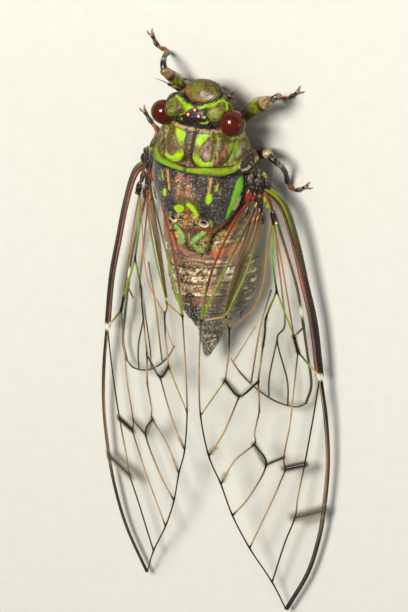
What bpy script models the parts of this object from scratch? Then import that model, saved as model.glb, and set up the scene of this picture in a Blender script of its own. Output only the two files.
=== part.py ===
"""A resting female cicada at life size, 22 mm from brow to tail tip, wings folded roof-wise over the back.

Sizes are in millimetres in the insect's own frame: +X is its right side, +Y its head, +Z its back,
z = 0 is the ground under its feet and y = 0 is the level where the claval tips of the wings meet.
place() turns them into metres and moves the middle of the whole length onto the origin.
"""

import math

import bpy
import numpy as np
from mathutils.geometry import delaunay_2d_cdt

MM = 0.001
LENGTH_CENTRE = -3.35  # y of the middle between the fore claws and the wing tips

# Forewing and hindwing planes: a shallow roof, highest along the back
ROOF_RIDGE = 5.32
ROOF_FALL = (0.025, 0.0033)  # forward rise of the ridge per mm, and its bend
ROOF_SLOPE = (0.443, 0.0064)  # side slope at y = 0, and its change per mm forwards
ROOF_CAMBER = 0.0006
WING_THICKNESS = 0.56
HIND_DROP = 1.05  # hindwing below forewing
FORE_STEPS = (1.1, 1.3)  # spacing of points along the margin and along each vein
HIND_STEPS = (1.0, 1.4)
CENTRE_SNAP = 0.16  # a vein's point this near another point becomes that point
FLANK_SNAP = 0.1
FLANK_CLEARANCE = 0.75  # flanks stop at this share of the half width of a vein they meet
MARGIN_CLEARANCE = 0.12
POINT_MERGE = 1e-4
WING_ROOT = (4.5, 11.1)
HIND_ROOT = (4.6, 8.75)
ROOT_SWELL = 0.3  # extra thickness of the wing's hard root, which fades over the reach
ROOT_REACH = 1.3

# Body heights and places
FLOOR = 0.0
BELLY = 1.0
EYE = (2.76, 15.95, 4.15)
EYE_RADII = (1.0, 1.0, 0.94)
EYE_FLAT = 2.38  # inner face of each eye

BODY_SIDES = 28
LEG_SIDES = 8

COLOURS = {
    "cuticle_dark": ((0.050, 0.048, 0.055, 1.0), 0.45),
    "cuticle_olive": ((0.115, 0.095, 0.030, 1.0), 0.42),
    "cuticle_brown": ((0.130, 0.075, 0.040, 1.0), 0.45),
    "eye_red": ((0.100, 0.010, 0.006, 1.0), 0.12),
    "leg_olive": ((0.180, 0.120, 0.045, 1.0), 0.40),
    "leg_dark": ((0.035, 0.024, 0.018, 1.0), 0.40),
    "tarsus_orange": ((0.420, 0.150, 0.040, 1.0), 0.40),
    "wing_membrane": ((0.560, 0.600, 0.420, 1.0), 0.20),
}


def clear_scene():
    for obj in list(bpy.data.objects):
        bpy.data.objects.remove(obj, do_unlink=True)


def material(name):
    existing = bpy.data.materials.get(name)
    if existing:
        return existing
    colour, roughness = COLOURS[name]
    mat = bpy.data.materials.new(name)
    mat.use_nodes = True
    shader = mat.node_tree.nodes["Principled BSDF"]
    shader.inputs["Base Color"].default_value = colour
    shader.inputs["Roughness"].default_value = roughness
    shader.inputs["Metallic"].default_value = 0.0
    mat.diffuse_color = colour
    return mat


def place(points):
    """Millimetres in the insect's frame to metres in the model's frame."""
    points = np.asarray(points, float)
    return (points - (0.0, LENGTH_CENTRE, 0.0)) * MM


def add_node(name, points, faces, finish):
    mesh = bpy.data.meshes.new(name)
    faces = [tuple(int(i) for i in face) for face in faces]
    mesh.from_pydata([tuple(p) for p in place(points)], [], faces)
    mesh.validate()
    mesh.shade_smooth()
    mesh.set_sharp_from_angle(angle=math.radians(40))
    mesh.materials.append(material(finish))
    obj = bpy.data.objects.new(name, mesh)
    bpy.context.scene.collection.objects.link(obj)
    return obj


# Shapes


def smooth(points, per_span):
    """A Catmull-Rom curve through the points, per_span pieces for each span."""
    p = np.asarray(points, float)
    ends = np.vstack([2 * p[0] - p[1], p, 2 * p[-1] - p[-2]])
    steps = np.arange(per_span) / per_span
    rows = []
    for a, b, c, d in zip(ends[:-3], ends[1:-2], ends[2:-1], ends[3:]):
        bend = 2 * a - 5 * b + 4 * c - d
        twist = 3 * b - a - 3 * c + d
        for t in steps:
            rows.append(0.5 * (2 * b + (c - a) * t + bend * t**2 + twist * t**3))
    rows.append(p[-1])
    return np.array(rows)


def loft(rings):
    """Closed solid through rings of equally many points, with a fan on each end."""
    rings = np.asarray(rings, float)
    count, sides = rings.shape[:2]
    points = np.vstack([rings.reshape(-1, 3), rings[0].mean(axis=0), rings[-1].mean(axis=0)])
    faces = []
    for i in range(count - 1):
        for j in range(sides):
            k = (j + 1) % sides
            faces.append((i * sides + j, i * sides + k, (i + 1) * sides + k, (i + 1) * sides + j))
    first, last = count * sides, count * sides + 1
    for j in range(sides):
        k = (j + 1) % sides
        faces.append((first, k, j))
        faces.append((last, (count - 1) * sides + j, (count - 1) * sides + k))
    if enclosed_volume(points, faces) < 0:
        faces = [face[::-1] for face in faces]
    return points, faces


def enclosed_volume(points, faces):
    """Six times the volume: positive where the faces point outwards."""
    return sum(
        points[face[0]].dot(np.cross(points[face[i]], points[face[i + 1]]))
        for face in faces
        for i in range(1, len(face) - 1)
    )


def body_ring(y, half_width, low, side, top, centre=0.0, square=2.0, sides=BODY_SIDES):
    """A cross-section at y: a superellipse whose upper and lower halves have their own heights."""
    turn = np.arange(sides) * 2 * math.pi / sides
    across = np.sign(np.cos(turn)) * np.abs(np.cos(turn)) ** (2 / square)
    up = np.sign(np.sin(turn)) * np.abs(np.sin(turn)) ** (2 / square)
    height = np.where(up > 0, top - side, side - low)
    return np.stack([centre + half_width * across, np.full(sides, y), side + height * up], axis=1)


def tube_rings(path, radii, sides=LEG_SIDES, flatten=1.0):
    """Rings square to a path; flatten squeezes them from above."""
    path = np.asarray(path, float)
    along = np.gradient(path, axis=0)
    along /= np.linalg.norm(along, axis=1)[:, None]
    upward = np.array([0.0, 0.0, 1.0])
    rings = []
    side = np.cross(along[0], upward)
    if np.linalg.norm(side) < 0.2:
        side = np.array([1.0, 0.0, 0.0])
    for point, direction, radius in zip(path, along, radii):
        side = side - direction * side.dot(direction)
        side /= np.linalg.norm(side)
        lift = np.cross(side, direction)
        turn = np.arange(sides) * 2 * math.pi / sides
        circle = np.outer(np.cos(turn), side) + flatten * np.outer(np.sin(turn), lift)
        rings.append(point + radius * circle)
    return np.array(rings)


def tube(path, radii, sides=LEG_SIDES, flatten=1.0, per_span=2):
    path = smooth(path, per_span)
    spread = np.linspace(0, len(radii) - 1, len(path))
    radii = np.interp(spread, np.arange(len(radii)), radii)
    points, faces = loft(tube_rings(path, radii, sides, flatten))
    points[:, 2] = np.maximum(points[:, 2], FLOOR)
    return points, faces


def dome(centre, radii, cut=None, rows=8, sides=16):
    """An ellipsoid; with cut, the part on its inner side of the plane x = cut is flattened onto it."""
    rise = np.linspace(-math.pi / 2, math.pi / 2, rows + 2)[1:-1]
    turn = np.arange(sides) * 2 * math.pi / sides
    rings = []
    for r in rise:
        circle = np.stack([np.cos(turn), np.sin(turn), np.full(sides, math.tan(r))], axis=1)
        rings.append(math.cos(r) * circle)
    points, faces = loft(np.array(rings))
    points = points * radii + centre
    points[-2, 2] = centre[2] - radii[2]
    points[-1, 2] = centre[2] + radii[2]
    if cut is not None:
        outward = np.sign(centre[0])
        points[:, 0] = outward * np.maximum(points[:, 0] * outward, cut)
    return points, faces


def mirrored(points, faces):
    return np.asarray(points) * (-1.0, 1.0, 1.0), [tuple(reversed(f)) for f in faces]


def add_fused(name, shapes, finish):
    """One node from closed shapes that sink into each other."""
    group = bpy.data.collections.new(name + "_pieces")
    base = add_node(name, *shapes[0], finish)
    helpers = []
    for number, shape in enumerate(shapes[1:]):
        piece = add_node(f"{name}_piece{number}", *shape, finish)
        bpy.context.scene.collection.objects.unlink(piece)
        group.objects.link(piece)
        helpers.append(piece)
    join = base.modifiers.new("join", "BOOLEAN")
    join.operation = "UNION"
    join.operand_type = "COLLECTION"
    join.collection = group
    join.solver = "EXACT"
    bpy.context.scene.collection.children.link(group)
    bpy.context.view_layer.update()
    graph = bpy.context.evaluated_depsgraph_get()
    joined = bpy.data.meshes.new_from_object(base.evaluated_get(graph))
    base.modifiers.clear()
    base.data = joined
    for piece in helpers:
        bpy.data.objects.remove(piece, do_unlink=True)
    bpy.data.collections.remove(group)
    keep_largest_surface(base)
    return base


def keep_largest_surface(obj):
    """Drops every closed surface but the one with the largest box, such as a hollow that fusing seals."""
    mesh = obj.data
    parent = np.arange(len(mesh.vertices))
    edges = np.empty(len(mesh.edges) * 2, np.int32)
    mesh.edges.foreach_get("vertices", edges)
    edges = edges.reshape(-1, 2)
    while True:
        low = np.minimum(parent[edges[:, 0]], parent[edges[:, 1]])
        before = parent.copy()
        np.minimum.at(parent, edges[:, 0], low)
        np.minimum.at(parent, edges[:, 1], low)
        parent = parent[parent]
        if (parent == before).all():
            break
    labels = np.unique(parent)
    if len(labels) == 1:
        return
    points = np.empty(len(mesh.vertices) * 3, np.float32)
    mesh.vertices.foreach_get("co", points)
    points = points.reshape(-1, 3)
    sizes = [np.prod(np.ptp(points[parent == label], axis=0) + 1e-6) for label in labels]
    keep = parent == labels[int(np.argmax(sizes))]
    faces = [tuple(p.vertices) for p in mesh.polygons if keep[p.vertices[0]]]
    number = np.cumsum(keep) - 1
    finish = mesh.materials[0]
    kept = bpy.data.meshes.new(obj.name)
    faces = [tuple(int(number[i]) for i in face) for face in faces]
    kept.from_pydata([tuple(p) for p in points[keep]], [], faces)
    kept.materials.append(finish)
    obj.data = kept


# Wings: right wing in plan, x across and y along, in mm


def roof_height(x, y):
    """Height of the forewing's middle plane over the ground."""
    ridge = ROOF_RIDGE + ROOF_FALL[0] * y - ROOF_FALL[1] * y**2
    return ridge - (ROOF_SLOPE[0] + ROOF_SLOPE[1] * y) * x + ROOF_CAMBER * x**2


# Named vein junctions of the forewing
FORE = {
    "root": (4.6, 10.8),
    "arculus": (5.3, 8.15),
    "m_fork": (5.7, 2.65),
    "r_fork": (6.9, -1.0),
    "r_split": (7.2, -2.3),
    "nodus": (8.7, -4.35),
    "m_bend": (5.05, 0.5),
    "m_knee": (4.85, -1.95),
    "m_low": (4.55, -4.9),
    "m3": (4.6, -7.5),
    "cua1": (3.25, -6.2),
    "cua2": (2.3, -4.9),
    "cu_split": (2.4, 0.5),
    "cu_end": (2.6, -0.55),
    "claval_tip": (0.75, 0.1),
    "a1": (0.55, -8.05),
    "a2": (1.0, -11.7),
    "a3": (1.75, -14.25),
    "a4": (2.45, -17.15),
    "a5": (3.55, -20.2),
    "a6": (5.05, -23.4),
    "rm_out": (7.7, -12.0),
    "rm_in": (6.4, -12.45),
    "rm_stub": (6.25, -11.45),
    "y_foot": (5.0, -12.2),
    "y_arm": (4.2, -10.4),
    "ra2": (9.0, -16.05),
    "r_cross_in": (6.95, -16.9),
    "tip": (5.95, -26.0),
}

# Margin from the front of the root round the leading edge, the tip and back up the inner edge
FORE_MARGIN = [
    (4.8, 11.75), (6.0, 9.9), (7.0, 7.0), (7.8, 3.65), (8.5, 0.2), (9.1, -3.55),
    (9.55, -7.7), (9.7, -11.5), (9.45, -15.1), (8.9, -18.75), (8.15, -22.1), (7.25, -24.7),
    (6.5, -26.05), (5.75, -26.4), (4.95, -25.5), (4.05, -23.4), (3.1, -20.5), (2.05, -17.25),
    (1.35, -14.35), (0.6, -11.5), (0.2, -8.05), (0.2, -5.15), (0.4, -2.0), (0.5, 0.3),
    (0.95, 2.9), (1.75, 5.65), (3.0, 8.75), (4.05, 10.1), (4.2, 11.15),
]

# Half width and height of a vein's ridge on the membrane
COSTAL = (0.34, 0.26)
EDGE = (0.24, 0.2)
STOUT = (0.2, 0.17)
MEDIUM = (0.18, 0.16)
FINE = (0.16, 0.14)

# Each vein: its ridge, then its stations by junction name or (x, y)
FORE_VEINS = {
    "costa": (COSTAL, ["root", (5.85, 9.45), (6.75, 6.7), (7.5, 3.3), (8.2, 0.0), "nodus"]),
    "radius_margin": (
        EDGE,
        ["nodus", (9.15, -8.05), (9.3, -11.9), "ra2", (8.55, -19.0), (7.65, -22.3), "tip"],
    ),
    "basal_cell": (STOUT, ["root", "arculus"]),
    "radius": (STOUT, ["arculus", (6.05, 4.45), "r_fork", "r_split", "nodus"]),
    "radial_sector": (
        FINE,
        ["nodus", (8.3, -7.8), "rm_out", (7.2, -14.95), "r_cross_in", (6.15, -19.4), "a6"],
    ),
    "r_cross": (FINE, ["ra2", "r_cross_in"]),
    "sector_inner": (FINE, ["r_split", (6.95, -5.55), "rm_stub", "rm_in"]),
    "rm_cross": (STOUT, ["rm_out", "rm_in"]),
    "m_outer": (FINE, ["rm_in", (5.35, -15.5), "a5"]),
    "media": (STOUT, ["arculus", (5.35, 5.35), "m_fork"]),
    "media_outer": (STOUT, ["m_fork", "r_fork"]),
    "media_inner": (MEDIUM, ["m_fork", "m_bend", "m_knee", "m_low", "m3"]),
    "m_cross": (FINE, ["m_low", "cua1", "cua2"]),
    "m3_branch": (FINE, ["m3", (4.25, -9.4), "y_arm", (2.8, -12.0), "a3"]),
    "y_leg": (FINE, ["y_arm", "y_foot", (3.7, -15.3), "a4"]),
    "y_cross": (FINE, ["y_foot", "rm_stub"]),
    "cua_branch": (FINE, ["cua1", (2.15, -9.4), "a2"]),
    "cua_low": (FINE, ["cua2", "a1"]),
    "cubitus_front": (MEDIUM, ["arculus", (4.95, 5.25), (4.8, 3.2), (4.15, 1.1), "cu_end"]),
    "cubitus_rear": (
        MEDIUM,
        ["root", (4.45, 7.5), (3.6, 3.85), "cu_split", "cu_end", (2.55, -2.6), "cua2"],
    ),
    "cu_link": (FINE, ["cu_split", "claval_tip"]),
    "claval_fold": (MEDIUM, [(4.45, 9.7), (3.15, 6.5), (1.95, 3.4), "claval_tip"]),
    "claval_edge": (MEDIUM, [(4.2, 10.3), (3.3, 8.85), (2.15, 5.85), (1.25, 3.1), "claval_tip"]),
    "ambient": (FINE, ["claval_tip", (0.55, -3.95), "a1", "a2", "a3", "a4", "a5", "a6", "tip"]),
}

HIND = {
    "root": (5.0, 8.35),
    "x_low": (5.4, -1.9),
    "x_high": (5.9, -0.6),
    "elbow": (3.95, -0.8),
}

HIND_MARGIN = [
    (4.7, 9.15), (5.6, 7.4), (6.35, 4.65), (7.0, 2.2), (7.4, 0.0), (7.7, -2.6), (8.05, -5.35),
    (7.8, -7.4), (6.8, -7.95), (5.3, -7.5), (3.85, -6.4), (2.75, -5.05), (2.05, -3.55),
    (2.6, -2.6), (3.6, -1.2), (4.35, 0.4), (4.55, 2.4), (4.55, 5.05), (4.25, 7.7),
]

HIND_VEINS = {
    "costa": (
        MEDIUM,
        ["root", (5.95, 5.05), (6.65, 2.4), (7.1, -0.4), (7.45, -3.0), (7.75, -5.55), (7.4, -7.2)],
    ),
    "sector": (FINE, ["root", (5.25, 5.45), (5.6, 2.6), "x_high", "x_low", (6.1, -5.25), (6.15, -7.4)]),
    "cross": (FINE, [(7.15, -0.8), (6.6, -1.5)]),
    "median": (FINE, ["x_low", (4.9, -4.95), (4.85, -6.7)]),
    "cubital": (FINE, [(4.95, 2.2), (4.25, -1.0), (3.65, -5.55)]),
    "fold": (FINE, ["elbow", (2.5, -3.75)]),
}


def stations(names, junctions):
    return [junctions[n] if isinstance(n, str) else n for n in names]


def vein_line(entry, junctions, step):
    """The vein's centre line as a smooth curve, one station every step or so."""
    path = smooth(stations(entry[1], junctions), 8)
    run = np.concatenate([[0], np.cumsum(np.linalg.norm(np.diff(path, axis=0), axis=1))])
    count = max(2, int(round(run[-1] / step)) + 1)
    at = np.linspace(0, run[-1], count)
    return np.stack([np.interp(at, run, path[:, k]) for k in (0, 1)], axis=1)


def distance_to_line(points, line):
    """Least distance from each point to the broken line."""
    a, b = line[:-1], line[1:]
    ab = b - a
    t = ((points[:, None] - a) * ab).sum(-1) / (ab**2).sum(-1)
    nearest = a + np.clip(t, 0, 1)[..., None] * ab
    return np.linalg.norm(points[:, None] - nearest, axis=-1).min(axis=1)


def inside(points, loop):
    """Even-odd test of points against a closed loop."""
    a, b = loop, np.roll(loop, -1, axis=0)
    px, py = points[:, None, 0], points[:, None, 1]
    spans = (a[:, 1] > py) != (b[:, 1] > py)
    rise = np.where(b[:, 1] == a[:, 1], 1e-9, b[:, 1] - a[:, 1])
    crossing = px < a[:, 0] + (py - a[:, 1]) * (b[:, 0] - a[:, 0]) / rise
    return (spans & crossing).sum(axis=1) % 2 == 1


def wing_plan(margin, veins, junctions, margin_step, vein_step):
    """Triangles of the wing in plan, cut along every vein, and the ridge height at each point."""
    outline = smooth(list(margin) + [margin[0]], 10)
    run = np.concatenate([[0], np.cumsum(np.linalg.norm(np.diff(outline, axis=0), axis=1))])
    count = int(run[-1] / margin_step)
    at = np.arange(count) * run[-1] / count
    loop = np.stack([np.interp(at, run, outline[:, k]) for k in (0, 1)], axis=1)
    points = [tuple(p) for p in loop]
    edges = [(i, (i + 1) % len(loop)) for i in range(len(loop))]

    def point_index(p, near):
        known = np.array(points)
        apart = np.hypot(known[:, 0] - p[0], known[:, 1] - p[1])
        best = int(apart.argmin())
        if apart[best] < near:
            return best
        points.append((float(p[0]), float(p[1])))
        return len(points) - 1

    lines = {name: vein_line(entry, junctions, vein_step) for name, entry in veins.items()}
    closed = np.vstack([loop, loop[:1]])
    for name, line in lines.items():
        ids = [point_index(p, CENTRE_SNAP) for p in line]
        edges += [(a, b) for a, b in zip(ids, ids[1:]) if a != b]
    for name, line in lines.items():
        half = veins[name][0][0]
        along = np.gradient(line, axis=0)
        along /= np.linalg.norm(along, axis=1)[:, None]
        normal = np.stack([-along[:, 1], along[:, 0]], axis=1)
        for side in (half, -half):
            flank = line + normal * side
            good = inside(flank, loop) & (distance_to_line(flank, closed) > MARGIN_CLEARANCE)
            for other, other_line in lines.items():
                if other != name:
                    good &= distance_to_line(flank, other_line) > FLANK_CLEARANCE * veins[other][0][0]
            last = None
            for p, ok in zip(flank, good):
                index = point_index(p, FLANK_SNAP) if ok else None
                if last is not None and index is not None and last != index:
                    edges.append((last, index))
                last = index
    verts, _, tris, *_ = delaunay_2d_cdt(points, edges, [], 0, POINT_MERGE)
    verts = np.array([tuple(v) for v in verts])
    tris = np.array([tuple(t) for t in tris])
    tris = tris[inside(verts[tris].mean(axis=1), loop)]
    used = np.unique(tris)
    renumber = np.full(len(verts), -1)
    renumber[used] = np.arange(len(used))
    verts, tris = verts[used], renumber[tris]
    ridge = np.zeros(len(verts))
    for name, line in lines.items():
        half, height = veins[name][0]
        ridge = np.maximum(ridge, height * np.clip(1 - distance_to_line(verts, line) / half, 0, 1))
    return verts, tris, ridge


def wing_solid(plan, drop, root, swell_above):
    """The plan laid on the roof plane, with both faces split alike and a wall round its edge."""
    verts, tris, ridge = plan
    x, y = verts.T
    middle = roof_height(x, y) - drop
    away = np.hypot(x - root[0], y - root[1]) / ROOT_REACH
    swell = np.exp(-(away**2))
    top = np.stack([x, y, middle + WING_THICKNESS / 2 + swell_above * swell + ridge], axis=1)
    bottom = np.stack([x, y, middle - WING_THICKNESS / 2 - ROOT_SWELL * swell], axis=1)
    corners = verts[tris]
    turn = np.cross(corners[:, 1] - corners[:, 0], corners[:, 2] - corners[:, 0])
    tris = np.where((turn > 0)[:, None], tris, tris[:, ::-1])
    count = len(verts)
    directed = np.concatenate([tris[:, [0, 1]], tris[:, [1, 2]], tris[:, [2, 0]]])
    seen = {tuple(e) for e in directed}
    rim = [e for e in seen if (e[1], e[0]) not in seen]
    faces = [tuple(t) for t in tris] + [tuple(t[::-1] + count) for t in tris]
    for a, b in sorted(rim):
        faces.append((b, a, a + count))
        faces.append((b, a + count, b + count))
    return np.vstack([top, bottom]), faces


def make_wings():
    fore_plan = wing_plan(FORE_MARGIN, FORE_VEINS, FORE, *FORE_STEPS)
    hind_plan = wing_plan(HIND_MARGIN, HIND_VEINS, HIND, *HIND_STEPS)
    fore = wing_solid(fore_plan, 0.0, WING_ROOT, ROOT_SWELL)
    hind = wing_solid(hind_plan, HIND_DROP, HIND_ROOT, 0.0)
    add_node("forewing_right", *fore, "wing_membrane")
    add_node("forewing_left", *mirrored(*fore), "wing_membrane")
    add_node("hindwing_right", *hind, "wing_membrane")
    add_node("hindwing_left", *mirrored(*hind), "wing_membrane")


# Body


def make_head():
    skull = loft([
        body_ring(15.75, 2.0, 2.0, 3.3, 4.50, square=2.4),
        body_ring(16.2, 2.1, 1.7, 3.2, 4.62, square=2.4),
        body_ring(16.6, 2.05, 1.5, 3.1, 4.50, square=2.3),
        body_ring(17.0, 1.9, 1.5, 3.0, 4.20, square=2.2),
        body_ring(17.25, 1.6, 1.6, 2.9, 3.85, square=2.1),
    ])
    shapes = [skull]
    for side in (1, -1):
        shapes.append(dome((side * 1.3, 16.5, 4.25), (0.62, 0.62, 0.42), rows=5, sides=10))
    for x, y in ((0.0, 16.6), (0.31, 16.2), (-0.31, 16.2)):
        shapes.append(dome((x, y, 4.55), (0.2, 0.2, 0.24), rows=3, sides=8))
    add_fused("head", shapes, "cuticle_olive")

    def brow(y, half_width, low, side, top, groove):
        ring = body_ring(y, half_width, low, side, top, square=2.0, sides=24)
        turn = np.arctan2(ring[:, 2] - side, ring[:, 0])
        notch = 1 + groove * np.cos(10 * turn) * np.abs(np.cos(turn))
        ring[:, 0] *= notch
        return ring

    rings = [
        brow(17.55, 1.45, 1.75, 2.95, 3.95, 0.02),
        brow(17.75, 1.4, 1.75, 2.95, 3.95, 0.03),
        brow(17.95, 1.2, 1.9, 2.95, 3.8, 0.03),
        brow(18.15, 0.85, 2.2, 2.95, 3.55, 0.02),
        brow(18.25, 0.35, 2.6, 2.95, 3.25, 0.0),
    ]
    add_node("postclypeus", *loft(rings), "cuticle_olive")
    for side, label in ((1, "right"), (-1, "left")):
        eye = dome((side * EYE[0], EYE[1], EYE[2]), EYE_RADII, cut=EYE_FLAT, rows=9, sides=18)
        add_node("eye_" + label, *eye, "eye_red")
        feeler = tube(
            [(side * 2.1, 17.6, 2.95), (side * 2.45, 17.9, 3.35), (side * 3.0, 18.3, 3.85)],
            (0.27, 0.25, 0.1),
            sides=8,
        )
        add_node("antenna_" + label, *feeler, "leg_dark")
    beak = tube([(0, 16.6, 0.8), (0, 14.9, 0.55), (0, 9.3, 0.5)], (0.28, 0.28, 0.16), sides=10)
    add_node("rostrum", *beak, "cuticle_brown")


def make_thorax():
    shield = loft([
        body_ring(15.45, 1.85, 1.6, 3.0, 4.65, square=2.5),
        body_ring(14.95, 1.95, 1.3, 2.9, 5.0, square=2.4),
        body_ring(14.55, 3.0, 1.2, 2.85, 5.2, square=2.3),
        body_ring(13.95, 3.25, 1.15, 2.8, 5.42, square=2.3),
        body_ring(13.25, 3.55, 1.1, 2.8, 5.5, square=2.3),
        body_ring(13.0, 3.75, 1.1, 2.8, 5.45, square=2.3),
        body_ring(12.75, 4.0, 1.15, 2.9, 5.6, square=2.2),
        body_ring(12.4, 3.95, 1.2, 3.0, 5.62, square=2.2),
    ][::-1])
    add_node("pronotum", *shield, "cuticle_olive")

    plate_sides = 24
    rows = [
        # y, half width, edge height, top, underside
        (12.1, 3.4, 3.85, 5.55, 3.65),
        (11.0, 3.25, 3.85, 5.62, 3.6),
        (10.0, 3.0, 3.9, 5.6, 3.6),
        (8.95, 2.65, 4.0, 5.5, 3.7),
        (8.0, 2.2, 4.2, 5.4, 3.95),
        (7.3, 1.5, 4.45, 5.3, 4.15),
        (6.7, 1.1, 4.6, 5.3, 4.35),
        (5.95, 1.0, 4.65, 5.25, 4.45),
        (5.55, 0.9, 4.7, 5.1, 4.5),
    ]
    rings = []
    for y, half_width, edge, top, under in rows:
        rings.append(body_ring(y, half_width, under, edge, top, square=2.1, sides=plate_sides))
    cross = []
    for side in (1, -1):
        front = [(side * 1.0, 7.6, 5.2), (side * 0.35, 6.85, 5.45), (0.0, 6.6, 5.45)]
        rear = [(side * 0.85, 5.75, 5.05), (side * 0.35, 6.35, 5.4), (0.0, 6.6, 5.45)]
        cross.append(tube(front, (0.22, 0.26, 0.28), sides=6, flatten=0.7, per_span=1))
        cross.append(tube(rear, (0.22, 0.26, 0.28), sides=6, flatten=0.7, per_span=1))
    add_fused("mesonotum", [loft(rings[::-1])] + cross, "cuticle_dark")

    trunk = loft([
        body_ring(12.1, 3.6, 1.15, 2.4, 3.25, square=2.4),
        body_ring(10.8, 3.7, BELLY, 2.3, 3.2, square=2.4),
        body_ring(9.15, 3.6, BELLY, 2.2, 3.15, square=2.3),
        body_ring(7.7, 3.55, BELLY, 2.2, 3.45, square=2.1),
        body_ring(6.5, 3.5, BELLY, 2.2, 3.9, square=2.0),
        body_ring(5.45, 3.45, 1.05, 2.2, 4.05, square=2.0),
        body_ring(4.85, 3.35, 1.1, 2.2, 3.95, square=2.0),
    ][::-1])
    add_node("thorax", *trunk, "cuticle_dark")


# Abdomen: y, half width, underside, side height, top, sideways bend
ABDOMEN_ROWS = [
    (4.55, 3.4, 1.05, 2.1, 3.9, 0.1),
    (3.9, 3.6, 0.95, 2.0, 3.95, 0.25),
    (2.55, 3.6, 0.9, 1.95, 3.85, 0.4),
    (1.4, 3.4, 1.0, 1.95, 3.75, 0.45),
    (0.5, 3.0, 1.15, 2.0, 3.6, 0.45),
    (-0.15, 2.55, 1.3, 2.1, 3.45, 0.42),
    (-0.8, 2.0, 1.5, 2.2, 3.3, 0.38),
    (-1.7, 1.3, 1.8, 2.3, 3.05, 0.32),
]
TERGITE_STEP = 0.1


def make_abdomen():
    """Rings that overlap like telescoped sleeves: each starts a step inside the end of the one before."""
    rings = []
    for row, (front, back) in enumerate(zip(ABDOMEN_ROWS, ABDOMEN_ROWS[1:])):
        y0, w0, low0, side0, top0, bend0 = front
        y1, w1, low1, side1, top1, bend1 = back
        inset = TERGITE_STEP if row else 0.0
        rings.append(body_ring(y0, w0 - inset, low0 + inset, side0, top0 - inset, bend0))
        middle = 0.45
        rings.append(body_ring(
            y0 + (y1 - y0) * middle,
            w0 + (w1 - w0) * middle,
            low0 + (low1 - low0) * middle,
            side0 + (side1 - side0) * middle,
            top0 + (top1 - top0) * middle,
            bend0 + (bend1 - bend0) * middle,
        ))
        rings.append(body_ring(y1 + 0.03, w1, low1, side1, top1, bend1))
    rings.append(body_ring(-1.7, 1.2, 1.92, 2.3, 2.93, 0.32))
    add_node("abdomen", *loft(rings[::-1]), "cuticle_brown")

    tail = [
        body_ring(-2.0, 1.0, 2.0, 2.35, 2.95, 0.3, sides=16),
        body_ring(-2.9, 0.75, 2.1, 2.4, 2.85, 0.2, sides=16),
        body_ring(-3.55, 0.45, 2.2, 2.45, 2.75, 0.1, sides=16),
        body_ring(-4.2, 0.2, 2.35, 2.5, 2.65, 0.0, sides=16),
    ]
    add_node("ovipositor_sheath", *loft(tail[::-1]), "cuticle_dark")


# Legs: each piece's stations in mm, from the hip to the claws, and its radii along them.
# The hind legs lie folded under the body, where the wings don't show them.
LEGS = {
    "fore_left": {
        "femur": ([(-1.65, 14.6, 0.55), (-2.1, 15.75, 0.95), (-2.55, 16.9, 1.6), (-3.15, 18.25, 2.85)],
                  (0.35, 0.42, 0.5, 0.3)),
        "tibia": ([(-3.65, 18.85, 2.7), (-3.9, 18.8, 1.6), (-4.0, 18.6, 0.65)], (0.26, 0.25, 0.25)),
        "tarsus": ([(-4.5, 18.65, 0.3), (-5.05, 18.8, 0.2), (-5.5, 19.5, 0.15)], (0.25, 0.25, 0.2)),
    },
    "fore_right": {
        "femur": ([(1.65, 14.4, 0.5), (2.5, 15.4, 0.9), (3.4, 16.3, 1.6), (4.75, 17.3, 2.5)],
                  (0.35, 0.42, 0.52, 0.3)),
        "tibia": ([(5.4, 17.8, 2.25), (5.0, 17.3, 1.45), (4.65, 16.85, 0.65)], (0.26, 0.25, 0.25)),
        "tarsus": ([(5.2, 16.75, 0.3), (5.5, 16.95, 0.2), (5.95, 17.35, 0.15)], (0.25, 0.25, 0.2)),
    },
    "mid_left": {
        "femur": ([(-2.05, 10.5, 0.4), (-3.25, 10.1, 0.6), (-4.3, 9.6, 1.2)], (0.3, 0.36, 0.3)),
        "tibia": ([(-4.95, 10.0, 1.3), (-5.05, 10.8, 0.85), (-5.05, 11.65, 0.55)], (0.26, 0.25, 0.25)),
        "tarsus": ([(-5.1, 12.2, 0.3), (-5.55, 12.6, 0.2), (-6.15, 13.35, 0.15)], (0.25, 0.25, 0.2)),
    },
    "mid_right": {
        "femur": ([(2.35, 11.55, 0.4), (3.7, 12.3, 0.6), (4.6, 13.1, 2.15)], (0.3, 0.38, 0.34)),
        "tibia": ([(5.35, 12.65, 2.3), (5.5, 11.55, 1.2), (5.45, 10.35, 0.55)], (0.28, 0.25, 0.25)),
        "tarsus": ([(5.55, 9.85, 0.3), (5.95, 9.65, 0.2), (6.7, 10.05, 0.15)], (0.25, 0.25, 0.2)),
    },
    "hind_left": {
        "femur": ([(-1.4, 7.9, 0.45), (-1.95, 7.0, 0.5), (-2.3, 6.15, 0.6)], (0.3, 0.35, 0.3)),
        "tibia": ([(-2.35, 5.75, 0.6), (-2.5, 3.4, 0.5), (-2.35, 0.9, 0.4)], (0.26, 0.25, 0.25)),
        "tarsus": ([(-2.3, 0.5, 0.3), (-2.05, -0.5, 0.2), (-1.6, -1.4, 0.15)], (0.25, 0.25, 0.2)),
    },
    "hind_right": {
        "femur": ([(1.4, 7.9, 0.45), (1.95, 7.0, 0.5), (2.3, 6.15, 0.6)], (0.3, 0.35, 0.3)),
        "tibia": ([(2.35, 5.75, 0.6), (2.5, 3.4, 0.5), (2.35, 0.9, 0.4)], (0.26, 0.25, 0.25)),
        "tarsus": ([(2.3, 0.5, 0.3), (2.05, -0.5, 0.2), (1.6, -1.4, 0.15)], (0.25, 0.25, 0.2)),
    },
}
LEG_FINISH = {"femur": "leg_olive", "tibia": "leg_dark", "tarsus": "tarsus_orange"}


def make_legs():
    for leg, pieces in LEGS.items():
        for piece, (path, radii) in pieces.items():
            add_node(f"{piece}_{leg}", *tube(path, radii), LEG_FINISH[piece])


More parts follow.
